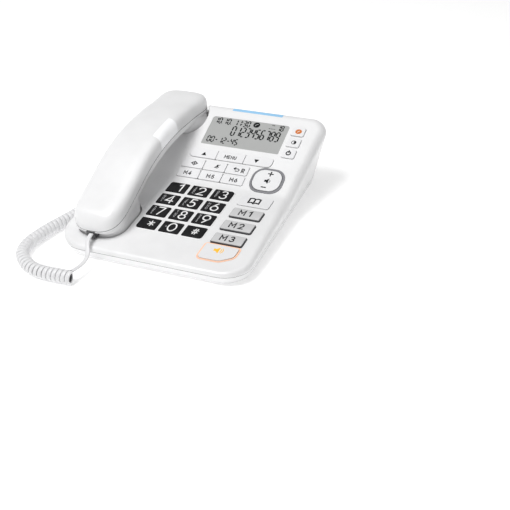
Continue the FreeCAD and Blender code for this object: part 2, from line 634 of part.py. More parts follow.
def make_handset():
    stations = HANDSET_STATIONS
    outer = dome_loft([(y, seam, crown, half) for y, seam, crown, half, _ in stations], CROWN)
    hollow = dome_loft([(y + (SHELL if y < 0 else -SHELL), seam - 0.5, crown - SHELL,
                         half - SHELL) for y, seam, crown, half, _ in stations[1:-1]], CROWN)
    shell = outer.cut(hollow)
    lamp_block = box(HANDSET_X + 14.5, HANDSET_X + 40.0, LAMP[0], LAMP[1], 40.0, 90.0)
    lamp = shell.common(lamp_block)
    gap_block = box(HANDSET_X + 14.4, HANDSET_X + 41.0, LAMP[0] - 0.12, LAMP[1] + 0.12,
                    39.0, 91.0)
    save(max(shell.cut(gap_block).Solids, key=lambda s: s.Volume), "handset_outer_shell")
    save(max(lamp.Solids, key=lambda s: s.Volume), "handset_lamp_window")

    low = dome_loft([(y, seam - SHELL_SEAM, seam - SHELL_SEAM - depth, half)
                     for y, seam, _, half, depth in stations], UNDER)
    body = low.fuse([cup_solid(MOUTH_CUP, 0, 0), cup_solid(EAR_CUP, 0, 0)])
    inside = dome_loft([(y + (SHELL if y < 0 else -SHELL), seam, seam - SHELL_SEAM - depth
                         + SHELL, half - SHELL)
                        for y, seam, _, half, depth in stations[2:-2]], UNDER)
    body = body.cut([inside, cup_solid(MOUTH_CUP, SHELL, SHELL),
                     cup_solid(EAR_CUP, SHELL, SHELL)])
    body = body.cut(above_seam(SHELL_SEAM + SEAM_TRIM))
    body = body.cut(box(HANDSET_X - 4.2, HANDSET_X + 4.2, -110.0, -79.0, 15.3, 21.9))
    holes = []
    for ring, count in ((0.0, 1), (5.0, 6), (10.0, 12)):
        for i in range(count):
            angle = 2 * math.pi * i / count
            holes.append(cylinder(1.1, HANDSET_X + ring * math.cos(angle),
                                  EAR_CUP["y"] + ring * math.sin(angle), 30.0, 54.0))
    for offset in (-4.0, 0.0, 4.0):
        holes.append(cylinder(0.9, HANDSET_X + offset, MOUTH_CUP["y"], 5.0, 20.0))
    for y, _ in HANDSET_SCREWS:
        holes.append(cylinder(2.6, HANDSET_X, y, 20.0, 56.0))
    body = body.cut(holes)
    save(max(body.Solids, key=lambda s: s.Volume), "handset_inner_shell")


def make_handset_internals():
    ear_floor = EAR_CUP["rim"] + SHELL
    save(cylinder(13.0, HANDSET_X, EAR_CUP["y"], ear_floor + 3.2, ear_floor + 9.0),
         "receiver_capsule")
    mouth_floor = MOUTH_CUP["rim"] + SHELL
    save(cylinder(6.0, HANDSET_X, MOUTH_CUP["y"], mouth_floor + 1.2, mouth_floor + 6.5),
         "microphone_capsule")
    save(box(HANDSET_X - 9.0, HANDSET_X + 9.0, -2.0, 26.0, 59.4, 64.6), "ballast_weight")
    x = HANDSET_X
    jack = box(x - 5.2, x + 5.2, -83.2, -75.0, 14.9, 22.4)
    jack = jack.cut(box(x - 4.1, x + 4.1, -100.0, -77.6, 15.4, 21.8))
    save(jack, "handset_jack")
    screws = []
    for y, seat in HANDSET_SCREWS:
        screws.append(joined([cylinder(2.3, HANDSET_X, y, seat, seat + 1.6),
                              cylinder(1.2, HANDSET_X, y, seat + 1.0, seat + 11.0)]))
    save(Part.makeCompound(screws), "handset_screws")


# ---------------------------------------------------------------- cord
def route_wire(points):
    """Straight runs joined by tangent arcs as large as the shorter run allows."""
    points = [V(*p) for p in points]
    runs = [(points[i + 1] - points[i]).Length for i in range(len(points) - 1)]
    edges = []
    radii = []
    start = points[0]
    for i in range(1, len(points) - 1):
        back = (points[i - 1] - points[i]).normalize()
        ahead = (points[i + 1] - points[i]).normalize()
        half_turn = (math.pi - back.getAngle(ahead)) / 2
        tangent = 0.45 * min(runs[i - 1], runs[i])
        radius = tangent / math.tan(half_turn)
        radii.append(round(radius, 1))
        enter = points[i] + back * tangent
        leave = points[i] + ahead * tangent
        inward = (back + ahead).normalize()
        middle = points[i] + inward * (radius / math.cos(half_turn) - radius)
        edges.append(Part.LineSegment(start, enter).toShape())
        edges.append(Part.Arc(enter, middle, leave).toShape())
        start = leave
    edges.append(Part.LineSegment(start, points[-1]).toShape())
    return Part.Wire(edges), radii


def tube(points, diameter, name):
    wire, radii = route_wire(points)
    first = V(*points[0])
    direction = (V(*points[1]) - first).normalize()
    section = Part.Wire(Part.makeCircle(diameter / 2, first, direction))
    solid = wire.makePipeShell([section], True, False)
    expected = math.pi * diameter ** 2 / 4 * wire.Length
    print(name, "length %.1f" % wire.Length, "radii", radii,
          "volume ratio %.4f" % (solid.Volume / expected))
    save(solid, name)


def make_cord():
    tube(HANDSET_LEAD, CORD_D, "cord_handset_lead")
    tube(COIL_ROUTE, COIL_D, "cord_coil")
    tube(BASE_LEAD, CORD_D, "cord_base_lead")
    x = HANDSET_X
    plug = box(x - 3.8, x + 3.8, -93.2, -78.2, 15.6, 21.6)
    plug = plug.cut(box(x - 2.0, x + 2.0, -81.5, -78.0, 15.0, 16.4))
    save(plug, "handset_plug")
    plug = box(-86.5, -70.0, BASE_JACK_Y - 3.8, BASE_JACK_Y + 3.8, BASE_JACK_Z - 3.1,
               BASE_JACK_Z + 3.1)
    save(plug, "base_plug")


# ---------------------------------------------------------------- assembly
def main():
    outer = upper_body(0.0, SEAM_Z + SEAM_GAP)
    make_base_top_cover(outer)
    make_light_bar(outer)
    make_base_bottom_cover()
    make_feet_and_screws()
    make_base_internals()
    make_number_keys()
    make_navigation_keys()
    make_function_keys()
    make_memory_keys()
    make_side_keys()
    make_phonebook_key()
    make_handsfree_key()
    make_volume_rocker()
    make_handset()
    make_handset_internals()
    make_cord()


main()
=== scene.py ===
import math
import bmesh
import bpy
from mathutils import Matrix, Vector


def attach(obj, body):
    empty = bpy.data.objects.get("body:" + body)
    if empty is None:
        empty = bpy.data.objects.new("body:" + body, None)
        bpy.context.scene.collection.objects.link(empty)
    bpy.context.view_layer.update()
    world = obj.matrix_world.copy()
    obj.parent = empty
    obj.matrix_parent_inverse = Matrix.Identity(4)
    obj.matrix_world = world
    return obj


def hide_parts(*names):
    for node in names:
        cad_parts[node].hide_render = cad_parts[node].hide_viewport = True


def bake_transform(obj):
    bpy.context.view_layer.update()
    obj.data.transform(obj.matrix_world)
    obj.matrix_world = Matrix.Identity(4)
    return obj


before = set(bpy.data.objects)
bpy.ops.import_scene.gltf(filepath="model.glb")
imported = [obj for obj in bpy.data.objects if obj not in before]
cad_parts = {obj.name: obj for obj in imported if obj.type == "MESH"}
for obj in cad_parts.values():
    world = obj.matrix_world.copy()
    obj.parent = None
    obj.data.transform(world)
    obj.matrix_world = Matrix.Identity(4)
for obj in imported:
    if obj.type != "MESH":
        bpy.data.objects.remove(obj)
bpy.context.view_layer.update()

# A corded large-key telephone. The CAD nodes keep their shapes and get their materials here.
# Only Blender makes the printed marks, the key rims, the label faces, the display's segments,
# the dark strips of painted shadow in the seams and the curly cord. They are drawn in
# millimetres and end up in the frame's metres.
MM = 0.001
SAME_PLACE = 1e-6  # points closer than this are one point

# ---------------------------------------- sizes, millimetres
# The keypad and display panels meet at the knee. Places on them are x, distance up the slope
# from the knee, and height above the panel.
KNEE = Vector((0.0, 7.5, 26.65))
FRONT_TILT = math.radians(7.0)
REAR_TILT = math.radians(24.5)
NUMBER_LEFT, NUMBER_BOTTOM = -26.5, -74.6
NUMBER_PITCH_X, NUMBER_PITCH_S = 22.0, 18.3
NUMBER_WIDTH, NUMBER_HEIGHT = 18.4, 14.0
MEMORY = (45.4, 74.0, -76.4, 12.7, 18.2)  # left, right, lowest edge, height, pitch

# How far the tops of the keys stand above their panels, and where the window's top is.
NUMBER_PROUD = 1.0
MEMORY_PROUD = 1.4
NAVIGATION_PROUD = 0.9
FUNCTION_PROUD = 0.7
COLUMN_PROUD = 1.1  # the small column at the right of the display
VOLUME_PROUD = 1.2
BOOK_PROUD = 0.9
HANDSFREE_PROUD = 1.0
DISPLAY_TOP = -0.15
INK = 0.05  # how far printed marks stand proud
SHALLOW = 0.02  # how far they sink into what carries them


def panel(tilt):
    """Matrix from panel coordinates in millimetres to the frame in metres."""
    return Matrix.Scale(MM, 4) @ Matrix.Translation(KNEE) @ Matrix.Rotation(tilt, 4, "X")


# ---------------------------------------- materials
CLOUD_WAVES, CLOUD_DETAIL = 55.0, 2.0  # the faint cloud in a moulding's colour, per metre
GRAIN_DEPTH = 0.0001  # metres
STREAK_WAVES, STREAK_DETAIL = 900.0, 4.0  # the streaks on drawn metal, per metre
STREAK_STRETCH = (0.08, 1.0, 1.0)
STREAK_DARK = 0.88  # the darker streaks' share of the colour
TONE_START, TONE_END = 0.3, 0.7  # the span of the noise that two tones blend over


def material(name):
    made = bpy.data.materials.new(name)
    made.use_nodes = True
    tree = made.node_tree
    return made, tree.nodes, tree.links, tree.nodes["Principled BSDF"]


def noise(nodes, links, scale, detail=3.0, stretch=(1.0, 1.0, 1.0)):
    """Noise over the object's own coordinates; scale is in waves per metre."""
    place = nodes.new("ShaderNodeTexCoord")
    mapping = nodes.new("ShaderNodeMapping")
    mapping.inputs["Scale"].default_value = stretch
    links.new(place.outputs["Object"], mapping.inputs["Vector"])
    texture = nodes.new("ShaderNodeTexNoise")
    texture.inputs["Scale"].default_value = scale
    texture.inputs["Detail"].default_value = detail
    links.new(mapping.outputs["Vector"], texture.inputs["Vector"])
    return texture


def two_tone(nodes, links, source, dark, light, target):
    """Blend two colours by a noise texture into a shader's socket."""
    ramp = nodes.new("ShaderNodeValToRGB")
    ramp.color_ramp.elements[0].position = TONE_START
    ramp.color_ramp.elements[1].position = TONE_END
    ramp.color_ramp.elements[0].color = (*dark, 1.0)
    ramp.color_ramp.elements[1].color = (*light, 1.0)
    links.new(source.outputs["Fac"], ramp.inputs["Fac"])
    links.new(ramp.outputs["Color"], target)


def vary_roughness(nodes, links, source, rough, shader):
    """Roughness between the two given values, by a noise texture."""
    spread = nodes.new("ShaderNodeMapRange")
    spread.inputs["To Min"].default_value = rough[0]
    spread.inputs["To Max"].default_value = rough[1]
    links.new(source.outputs["Fac"], spread.inputs["Value"])
    links.new(spread.outputs["Result"], shader.inputs["Roughness"])


def moulded(name, rgb, rough=(0.3, 0.38), vary=0.02, grain=1400.0, bump=0.06, metallic=0.0,
            coat=0.0, glow=None, glow_strength=0.0, specular=0.5):
    """A moulded plastic: a faint cloud in the colour, and a fine satin grain."""
    made, nodes, links, shader = material(name)
    cloud = noise(nodes, links, CLOUD_WAVES, CLOUD_DETAIL)
    two_tone(nodes, links, cloud, [c * (1 - vary) for c in rgb],
             [min(1.0, c * (1 + vary)) for c in rgb], shader.inputs["Base Color"])
    fine = noise(nodes, links, grain)
    vary_roughness(nodes, links, fine, rough, shader)
    relief = nodes.new("ShaderNodeBump")
    relief.inputs["Strength"].default_value = bump
    relief.inputs["Distance"].default_value = GRAIN_DEPTH
    links.new(fine.outputs["Fac"], relief.inputs["Height"])
    links.new(relief.outputs["Normal"], shader.inputs["Normal"])
    shader.inputs["Metallic"].default_value = metallic
    shader.inputs["Coat Weight"].default_value = coat
    shader.inputs["Specular IOR Level"].default_value = specular
    if glow is not None:
        shader.inputs["Emission Color"].default_value = (*glow, 1.0)
        shader.inputs["Emission Strength"].default_value = glow_strength
    return made


def brushed(name, rgb, rough=(0.28, 0.42)):
    """Plated or drawn metal with fine streaks along X."""
    made, nodes, links, shader = material(name)
    streaks = noise(nodes, links, STREAK_WAVES, STREAK_DETAIL, STREAK_STRETCH)
    two_tone(nodes, links, streaks, [c * STREAK_DARK for c in rgb], rgb,
             shader.inputs["Base Color"])
    vary_roughness(nodes, links, streaks, rough, shader)
    shader.inputs["Metallic"].default_value = 1.0
    return made


def board_material(name):
    """Green circuit board with paler tracks."""
    made, nodes, links, shader = material(name)
    place = nodes.new("ShaderNodeTexCoord")
    bricks = nodes.new("ShaderNodeTexBrick")
    bricks.inputs["Scale"].default_value = 160.0
    bricks.inputs["Mortar Size"].default_value = 0.03
    bricks.inputs["Color1"].default_value = (0.012, 0.075, 0.03, 1.0)
    bricks.inputs["Color2"].default_value = (0.015, 0.09, 0.035, 1.0)
    bricks.inputs["Mortar"].default_value = (0.06, 0.19, 0.06, 1.0)
    links.new(place.outputs["Object"], bricks.inputs["Vector"])
    links.new(bricks.outputs["Color"], shader.inputs["Base Color"])
    shader.inputs["Roughness"].default_value = 0.45
    return made


MATERIALS = {
    "case": moulded("case_plastic", (0.83, 0.83, 0.835), rough=(0.26, 0.33), coat=0.15),
    "key": moulded("key_plastic", (0.80, 0.80, 0.81), rough=(0.34, 0.42)),
    "black": moulded("black_key_plastic", (0.008, 0.008, 0.009), rough=(0.36, 0.46), vary=0.3,
                     specular=0.2),
    "white_ink": moulded("white_ink", (0.86, 0.86, 0.86), rough=(0.45, 0.55)),
    "grey_ink": moulded("grey_ink", (0.46, 0.46, 0.47), rough=(0.45, 0.55)),
    "dark_ink": moulded("dark_ink", (0.012, 0.012, 0.014), rough=(0.5, 0.6), vary=0.2,
                        specular=0.15),
    "orange_ink": moulded("orange_ink", (0.62, 0.16, 0.012), rough=(0.4, 0.5), vary=0.06),
    "label_body": moulded("label_surround", (0.055, 0.055, 0.06), rough=(0.25, 0.35),
                          vary=0.15),
    "label": moulded("label_paper", (0.60, 0.60, 0.605), rough=(0.22, 0.3), coat=0.3,
                     grain=3000.0),
    "glow": moulded("amber_light_ring", (0.90, 0.58, 0.42), rough=(0.35, 0.45),
                    glow=(1.0, 0.50, 0.26), glow_strength=0.14),
    "amber": moulded("amber_icon", (0.95, 0.46, 0.02), rough=(0.4, 0.5), vary=0.3,
                     grain=500.0, glow=(1.0, 0.5, 0.03), glow_strength=0.22),
    "blue": moulded("blue_light_bar", (0.30, 0.58, 0.84), rough=(0.2, 0.28), vary=0.05,
                    glow=(0.30, 0.66, 1.0), glow_strength=0.06),
    # painted highlight: the white glow on the handset's lamp window stands in for a bright
    # highlight on the handset, not a lit lamp
    "lamp": moulded("lamp_window_painted_highlight", (0.88, 0.885, 0.9), rough=(0.16, 0.22), coat=0.4,
                    glow=(1.0, 1.0, 1.0), glow_strength=0.16),
    "display": moulded("display_glass", (0.42, 0.425, 0.42), rough=(0.24, 0.28), vary=0.012,
                       bump=0.0, specular=0.2),
    "segment": moulded("display_segments", (0.008, 0.009, 0.01), rough=(0.4, 0.5), vary=0.2,
                       specular=0.12),
    "cell": moulded("display_cell_frame", (0.10, 0.11, 0.10), rough=(0.4, 0.5), vary=0.08),
    "bezel": moulded("satin_grey_bezel", (0.22, 0.22, 0.235), rough=(0.25, 0.33), vary=0.05,
                     metallic=0.5),
    "rubber": moulded("foot_rubber", (0.09, 0.09, 0.095), rough=(0.7, 0.85), vary=0.1,
                      grain=900.0, bump=0.3),
    "silicone": moulded("key_mat_silicone", (0.45, 0.45, 0.46), rough=(0.55, 0.65)),
    "board": board_material("green_board"),
    "jack": moulded("jack_plastic", (0.03, 0.03, 0.033), rough=(0.35, 0.45), vary=0.15),
    "plug": moulded("plug_plastic", (0.07, 0.07, 0.075), rough=(0.12, 0.18), vary=0.1),
    "steel": brushed("zinc_steel", (0.55, 0.55, 0.56)),
    "ballast": brushed("ballast_steel", (0.32, 0.32, 0.33), (0.4, 0.55)),
    "capsule": brushed("capsule_metal", (0.42, 0.42, 0.44)),
    "cord": moulded("cord_sheath", (0.76, 0.76, 0.77), rough=(0.32, 0.4), vary=0.015),
    # painted shade: a near-black colour on the coil's inner faces at its open end, where shade
    # falls
    "cord_inside_painted_shade": moulded("cord_inner_painted_shade", (0.16, 0.16, 0.165), rough=(0.5, 0.6),
                           specular=0.2),
    # painted shadow: a near-black strip that stands in for the shade inside the seam gaps
    "seam": moulded("seam_shadow_paint", (0.02, 0.02, 0.022), rough=(0.6, 0.7), vary=0.2,
                    specular=0.1),
    "white_rim": moulded("white_rim_plastic", (0.90, 0.90, 0.90), rough=(0.25, 0.32),
                         vary=0.01),
}

NODE_MATERIALS = {
    "base_top_cover": "case", "base_bottom_cover": "case", "handset_outer_shell": "case",
    "handset_inner_shell": "case", "handset_lamp_window": "lamp", "display_window": "display",
    "display_module": "cell", "ring_light_bar": "blue", "keypad_circuit_board": "board",
    "main_circuit_board": "board", "key_mats": "silicone", "loudspeaker": "capsule",
    "line_jack": "jack", "handset_cord_jack": "jack", "rubber_feet": "rubber",
    "case_screws": "steel", "volume_bezel": "bezel", "handsfree_light_ring": "glow",
    "hook_switch": "jack", "base_plug": "plug", "handset_plug": "plug",
    "receiver_capsule": "capsule", "microphone_capsule": "capsule",
    "ballast_weight": "ballast", "handset_jack": "jack", "handset_screws": "steel",
    "key_star": "black", "key_hash": "black",
}
NODE_MATERIALS.update({"key_%s" % digit: "black" for digit in "1234567890"})
NODE_MATERIALS.update({"key_memory_%d" % number: "label_body" for number in (1, 2, 3)})


def paint_nodes():
    """Every CAD node gets its material. The nodes that the table leaves out are white keys."""
    for name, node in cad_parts.items():
        node.data.materials.clear()
        node.data.materials.append(MATERIALS[NODE_MATERIALS.get(name, "key")])


# ---------------------------------------- mesh helpers
SMALLEST_RADIUS = 0.05


def finish_mesh(name, shell, place=None):
    """A mesh from a bmesh, its faces turned outwards."""
    if place is not None:
        shell.transform(place)
    bmesh.ops.recalc_face_normals(shell, faces=shell.faces)
    mesh = bpy.data.meshes.new(name)
    shell.to_mesh(mesh)
    shell.free()
    return mesh


def add_piece(name, shell, look, body, place=None, sharp=40.0):
    """A piece from a bmesh. Edges over the sharp angle, in degrees, stay crisp. A piece with
    no body here is left without a parent."""
    mesh = finish_mesh(name, shell, place)
    mesh.materials.append(MATERIALS[look])
    mesh.shade_smooth()
    mesh.set_sharp_from_angle(angle=math.radians(sharp))
    made = bpy.data.objects.new(name, mesh)
    bpy.context.collection.objects.link(made)
    if body is not None:
        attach(made, body)
    return made


def rounded(x0, x1, y0, y1, radii, margin, steps=6):
    """Points round a rectangle grown by margin, with its own radius at each corner.
    The corners go round from the lower left."""
    points = []
    corners = ((x0, y0, 180), (x1, y0, 270), (x1, y1, 0), (x0, y1, 90))
    for (x, y, start), radius in zip(corners, radii):
        radius = max(SMALLEST_RADIUS, radius + margin)
        sign_x = 1 if x == x0 else -1
        sign_y = 1 if y == y0 else -1
        centre_x = x - sign_x * margin + sign_x * radius
        centre_y = y - sign_y * margin + sign_y * radius
        for k in range(steps + 1):
            angle = math.radians(start + 90.0 * k / steps)
            points.append((centre_x + radius * math.cos(angle),
                           centre_y + radius * math.sin(angle)))
    return points


def add_loops(shell, loops, closed):
    """Skin a stack of loops of (x, y, z); closed joins the last loop to the first."""
    rings = [[shell.verts.new(p) for p in loop] for loop in loops]
    count = len(rings[0])
    pairs = list(zip(rings, rings[1:]))
    if closed:
        pairs.append((rings[-1], rings[0]))
    for low, high in pairs:
        for k in range(count):
            shell.faces.new((low[k], low[(k + 1) % count], high[(k + 1) % count], high[k]))
    if not closed:
        shell.faces.new(list(reversed(rings[0])))
        shell.faces.new(rings[-1])


def add_outlines(shell, outline, levels, closed):
    """Skin one outline at several (margin, height) levels. Open levels make a plate with
    softened edges, from bottom to top, and closed ones make a ring with that cross-section."""
    add_loops(shell, [[(x, y, height) for x, y in outline(margin)]
                      for margin, height in levels], closed)


# ---------------------------------------- painted shadow in the seams
RIM_LEVEL = 0.6  # the least upward part of a rim face's normal
SEAM_IN, SEAM_DEEP = 0.04, 0.9  # the two sides of a strip of painted shadow, inward from the outside
CASE_GAP, HANDSET_GAP = 0.3, 0.45  # the heights of the two seams


def rim_line(node):
    """The outer edge of the rim round a CAD shell: a closed run of points, in metres."""
    shell = bmesh.new()
    shell.from_mesh(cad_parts[node].data)
    bmesh.ops.remove_doubles(shell, verts=shell.verts, dist=SAME_PLACE)
    shell.normal_update()
    ways = {}
    for edge in shell.edges:
        if len(edge.link_faces) != 2:
            continue
        first, second = [face.normal.z > RIM_LEVEL for face in edge.link_faces]
        if first != second:
            for vert in edge.verts:
                ways.setdefault(vert, []).append(edge.other_vert(vert))
    best, best_reach = [], 0.0
    seen = set()
    for start in ways:
        if start in seen:
            continue
        run, vert = [], start
        while vert is not None:
            seen.add(vert)
            run.append(vert.co.copy())
            vert = next((v for v in ways[vert] if v not in seen), None)
        reach = max(p.y for p in run) - min(p.y for p in run)
        if reach > best_reach:
            best, best_reach = run, reach
    shell.free()
    return best


def make_painted_seam_shadow(name, node, body, gap):
    """A near-black strip of painted shadow that fills the gap above a shell's rim, just short of
    the outside.
    """
    line = rim_line(node)
    count = len(line)
    middle = sum(line, Vector()) / count
    inward = []
    for k in range(count):
        along = line[(k + 1) % count] - line[k - 1]
        flat = Vector((-along.y, along.x, 0.0)).normalized()
        inward.append(flat if flat.dot(middle - line[k]) > 0 else -flat)
    section = ((SEAM_IN, 0.0), (SEAM_IN, gap), (SEAM_DEEP, gap), (SEAM_DEEP, 0.0))
    loops = [[p + (way * depth + Vector((0, 0, rise))) * MM for p, way in zip(line, inward)]
             for depth, rise in section]
    shell = bmesh.new()
    add_loops(shell, loops, True)
    add_piece(name, shell, "seam", body)


# ---------------------------------------- strokes and marks
ARC_STEP, ARC_LEAST = 12, 3  # degrees between an arc's points, and fewest runs


def arc(cx, cy, rx, ry, start, end):
    """Points along part of an ellipse, between two angles in degrees."""
    count = max(ARC_LEAST, round(abs(end - start) / ARC_STEP))
    turn = math.radians(end - start) / count
    first = math.radians(start)
    return [(cx + rx * math.cos(first + turn * k), cy + ry * math.sin(first + turn * k))
            for k in range(count + 1)]


def ring(cx, cy, rx, ry):
    return arc(cx, cy, rx, ry, 0, 360)


BOWL_P = arc(0.28, 0.74, 0.26, 0.26, 90, -90)  # the bowl that P and R share
# Each glyph is its width and its strokes, for a height of 1.
GLYPHS = {
    "0": (0.7, [ring(0.35, 0.5, 0.35, 0.5)]),
    "1": (0.34, [[(0.03, 0.8), (0.31, 1), (0.31, 0)]]),
    "2": (0.6, [arc(0.29, 0.7, 0.29, 0.3, 165, -32) + [(0.02, 0), (0.6, 0)]]),
    "3": (0.56, [arc(0.26, 0.75, 0.25, 0.25, 150, -90), arc(0.26, 0.26, 0.3, 0.26, 90, -155)]),
    "4": (0.66, [[(0.48, 0), (0.48, 1), (0, 0.28), (0.66, 0.28)]]),
    "5": (0.58, [[(0.54, 1), (0.15, 1), (0.08, 0.55)]
                 + arc(0.27, 0.31, 0.31, 0.31, 118, -150)]),
    "6": (0.62, [[(0.44, 1), (0.05, 0.47)], ring(0.31, 0.31, 0.31, 0.31)]),
    "7": (0.58, [[(0, 1), (0.58, 1), (0.2, 0)]]),
    "8": (0.58, [ring(0.29, 0.76, 0.235, 0.24), ring(0.29, 0.26, 0.29, 0.26)]),
    "9": (0.62, [[(0.18, 0), (0.57, 0.53)], ring(0.31, 0.69, 0.31, 0.31)]),
    "*": (0.6, [[(0.3, 0.1), (0.3, 0.9)], [(0, 0.28), (0.6, 0.72)], [(0, 0.72), (0.6, 0.28)]]),
    "#": (0.66, [[(0.14, 0.08), (0.28, 0.92)], [(0.38, 0.08), (0.52, 0.92)],
                 [(0.02, 0.34), (0.6, 0.34)], [(0.06, 0.66), (0.64, 0.66)]]),
    "+": (0.6, [[(0, 0.5), (0.6, 0.5)], [(0.3, 0.2), (0.3, 0.8)]]),
    "A": (0.66, [[(0, 0), (0.33, 1), (0.66, 0)], [(0.12, 0.36), (0.54, 0.36)]]),
    "B": (0.56, [[(0, 0), (0, 1), (0.28, 1)] + arc(0.28, 0.77, 0.22, 0.23, 75, -90)
                 + [(0, 0.54)], [(0, 0), (0.3, 0)] + arc(0.3, 0.27, 0.26, 0.27, -75, 90)]),
    "C": (0.64, [arc(0.4, 0.5, 0.4, 0.5, 48, 312)]),
    "D": (0.62, [[(0, 0), (0, 1), (0.22, 1)] + arc(0.22, 0.5, 0.4, 0.5, 75, -75)
                 + [(0.22, 0), (0, 0)]]),
    "E": (0.5, [[(0.5, 1), (0, 1), (0, 0), (0.5, 0)], [(0, 0.52), (0.44, 0.52)]]),
    "F": (0.48, [[(0.48, 1), (0, 1), (0, 0)], [(0, 0.52), (0.42, 0.52)]]),
    "G": (0.74, [arc(0.4, 0.5, 0.4, 0.5, 48, 340) + [(0.77, 0.45), (0.46, 0.45)]]),
    "H": (0.58, [[(0, 0), (0, 1)], [(0.58, 0), (0.58, 1)], [(0, 0.5), (0.58, 0.5)]]),
    "I": (0.04, [[(0, 0), (0, 1)]]),
    "J": (0.4, [[(0.4, 1)] + arc(0.2, 0.2, 0.2, 0.2, 0, -165)]),
    "K": (0.56, [[(0, 0), (0, 1)], [(0.54, 1), (0, 0.4)], [(0.2, 0.62), (0.56, 0)]]),
    "L": (0.46, [[(0, 1), (0, 0), (0.46, 0)]]),
    "M": (0.8, [[(0, 0), (0, 1), (0.4, 0.35), (0.8, 1), (0.8, 0)]]),
    "N": (0.58, [[(0, 0), (0, 1), (0.58, 0), (0.58, 1)]]),
    "O": (0.8, [ring(0.4, 0.5, 0.4, 0.5)]),
    "P": (0.54, [[(0, 0), (0, 1)] + BOWL_P + [(0, 0.48)]]),
    "Q": (0.8, [ring(0.4, 0.5, 0.4, 0.5), [(0.5, 0.25), (0.8, -0.04)]]),
    "R": (0.56, [[(0, 0), (0, 1)] + BOWL_P + [(0, 0.48)], [(0.24, 0.48), (0.54, 0)]]),
    "S": (0.54, [arc(0.27, 0.76, 0.25, 0.24, 35, 270) + arc(0.27, 0.26, 0.27, 0.26, 80, -145)]),
    "T": (0.58, [[(0, 1), (0.58, 1)], [(0.29, 1), (0.29, 0)]]),
    "U": (0.56, [[(0, 1)] + arc(0.28, 0.28, 0.28, 0.28, 180, 360) + [(0.56, 1)]]),
    "V": (0.62, [[(0, 1), (0.31, 0), (0.62, 1)]]),
    "W": (0.88, [[(0, 1), (0.22, 0), (0.44, 0.85), (0.66, 0), (0.88, 1)]]),
    "X": (0.58, [[(0, 0), (0.58, 1)], [(0, 1), (0.58, 0)]]),
    "Y": (0.58, [[(0, 1), (0.29, 0.48), (0.58, 1)], [(0.29, 0.48), (0.29, 0)]]),
    "Z": (0.56, [[(0, 1), (0.54, 1), (0, 0), (0.56, 0)]]),
}
CAP_STEPS = (80.0, 55.0, 30.0)  # degrees round a stroke's end
MITRE_LIMIT = 2.2  # the longest mitre, in half widths
LEAST_SHARE = 0.05  # keeps a mitre finite at a full turn back


def directions(points, closed):
    """For each point: the mitred side vector and the way along the stroke."""
    count = len(points)
    found = []
    for k in range(count):
        before = points[k - 1] if (closed or k > 0) else None
        after = points[(k + 1) % count] if (closed or k < count - 1) else None
        here = points[k]
        back = (here - before).normalized() if before is not None else None
        ahead = (after - here).normalized() if after is not None else None
        if back is None:
            back = ahead
        if ahead is None:
            ahead = back
        along = back + ahead
        along = along.normalized() if along.length > SAME_PLACE else ahead
        side = Vector((-along.y, along.x))
        share = side.dot(Vector((-ahead.y, ahead.x)))
        found.append((side * min(MITRE_LIMIT, 1.0 / max(share, LEAST_SHARE)), along))
    return found


def add_stroke(shell, points, width, span):
    """A flat stroke with round ends, as a solid over a span: its low and high heights."""
    low, high = span
    points = [Vector(p) for p in points]
    closed = (points[0] - points[-1]).length < SAME_PLACE
    if closed:
        points = points[:-1]
    ways = directions(points, closed)
    half = width / 2
    sections = []
    if not closed:
        for angle in CAP_STEPS:
            turn = math.radians(angle)
            sections.append((points[0] - ways[0][1] * half * math.sin(turn),
                             ways[0][0] * half * math.cos(turn)))
    sections += [(p, side * half) for p, (side, _) in zip(points, ways)]
    if not closed:
        for angle in reversed(CAP_STEPS):
            turn = math.radians(angle)
            sections.append((points[-1] + ways[-1][1] * half * math.sin(turn),
                             ways[-1][0] * half * math.cos(turn)))
    loops = []
    for centre, side in sections:
        a, b = centre + side, centre - side
        loops.append([(a.x, a.y, low), (a.x, a.y, high), (b.x, b.y, high), (b.x, b.y, low)])
    add_loops(shell, loops, closed)


def add_polygon(shell, points, span):
    """A filled outline, as a solid over a span of heights."""
    add_loops(shell, [[(x, y, height) for x, y in points] for height in span], False)


def add_text(shell, text, x, y, height, width, span, gap=0.22):
    """Text centred on (x, y). The width is its stroke's, and the gap is in heights."""
    advance = [GLYPHS[c][0] + gap for c in text]
    left = x - (sum(advance) - gap) * height / 2
    for c, step in zip(text, advance):
        for stroke in GLYPHS[c][1]:
            add_stroke(shell, [(left + px * height, y + (py - 0.5) * height)
                               for px, py in stroke], width, span)
        left += step * height


def mark(name, key, tilt, proud, look, draw):
    """A printed mark on a key: draw(shell, span) adds its strokes."""
    shell = bmesh.new()
    draw(shell, (proud - SHALLOW, proud + INK))
    add_piece(name, shell, look, key + "_body", panel(tilt))


# ---------------------------------------- number keys
NUMBER_ROWS = ((("1", ""), ("2", "ABC"), ("3", "DEF")),
               (("4", "GHI"), ("5", "JKL"), ("6", "MNO")),
               (("7", "PQRS"), ("8", "TUV"), ("9", "WXYZ")),
               (("*", ""), ("0", "+"), ("#", "")))
KEY_NAMES = {"*": "key_star", "#": "key_hash"}
DIGIT_HEIGHT, DIGIT_STROKE = 10.3, 1.28
SIGN_SIZE = 0.8  # the star and hash, as a share of a digit
DIGIT_RIGHT = 1.9  # digits stand right of their keys' middles
DIGIT_SHIFT = {"1": 2.9, "0": 0.9, "*": 2.6, "#": 1.0}  # and these by other distances
LETTER_HEIGHT, LETTER_STROKE = 2.5, 0.42
LETTER_LEFT = 4.9  # the letters' column, left of the key's middle
LETTER_PITCH, LETTER_ROOM = 3.4, 10.8  # the widest pitch, and what a column may take
LETTER_SPACE = 0.75  # the least space between letters
KEY_CORNER, PAD_CORNER = 0.8, 2.4  # a number key's corners, and the keypad's own
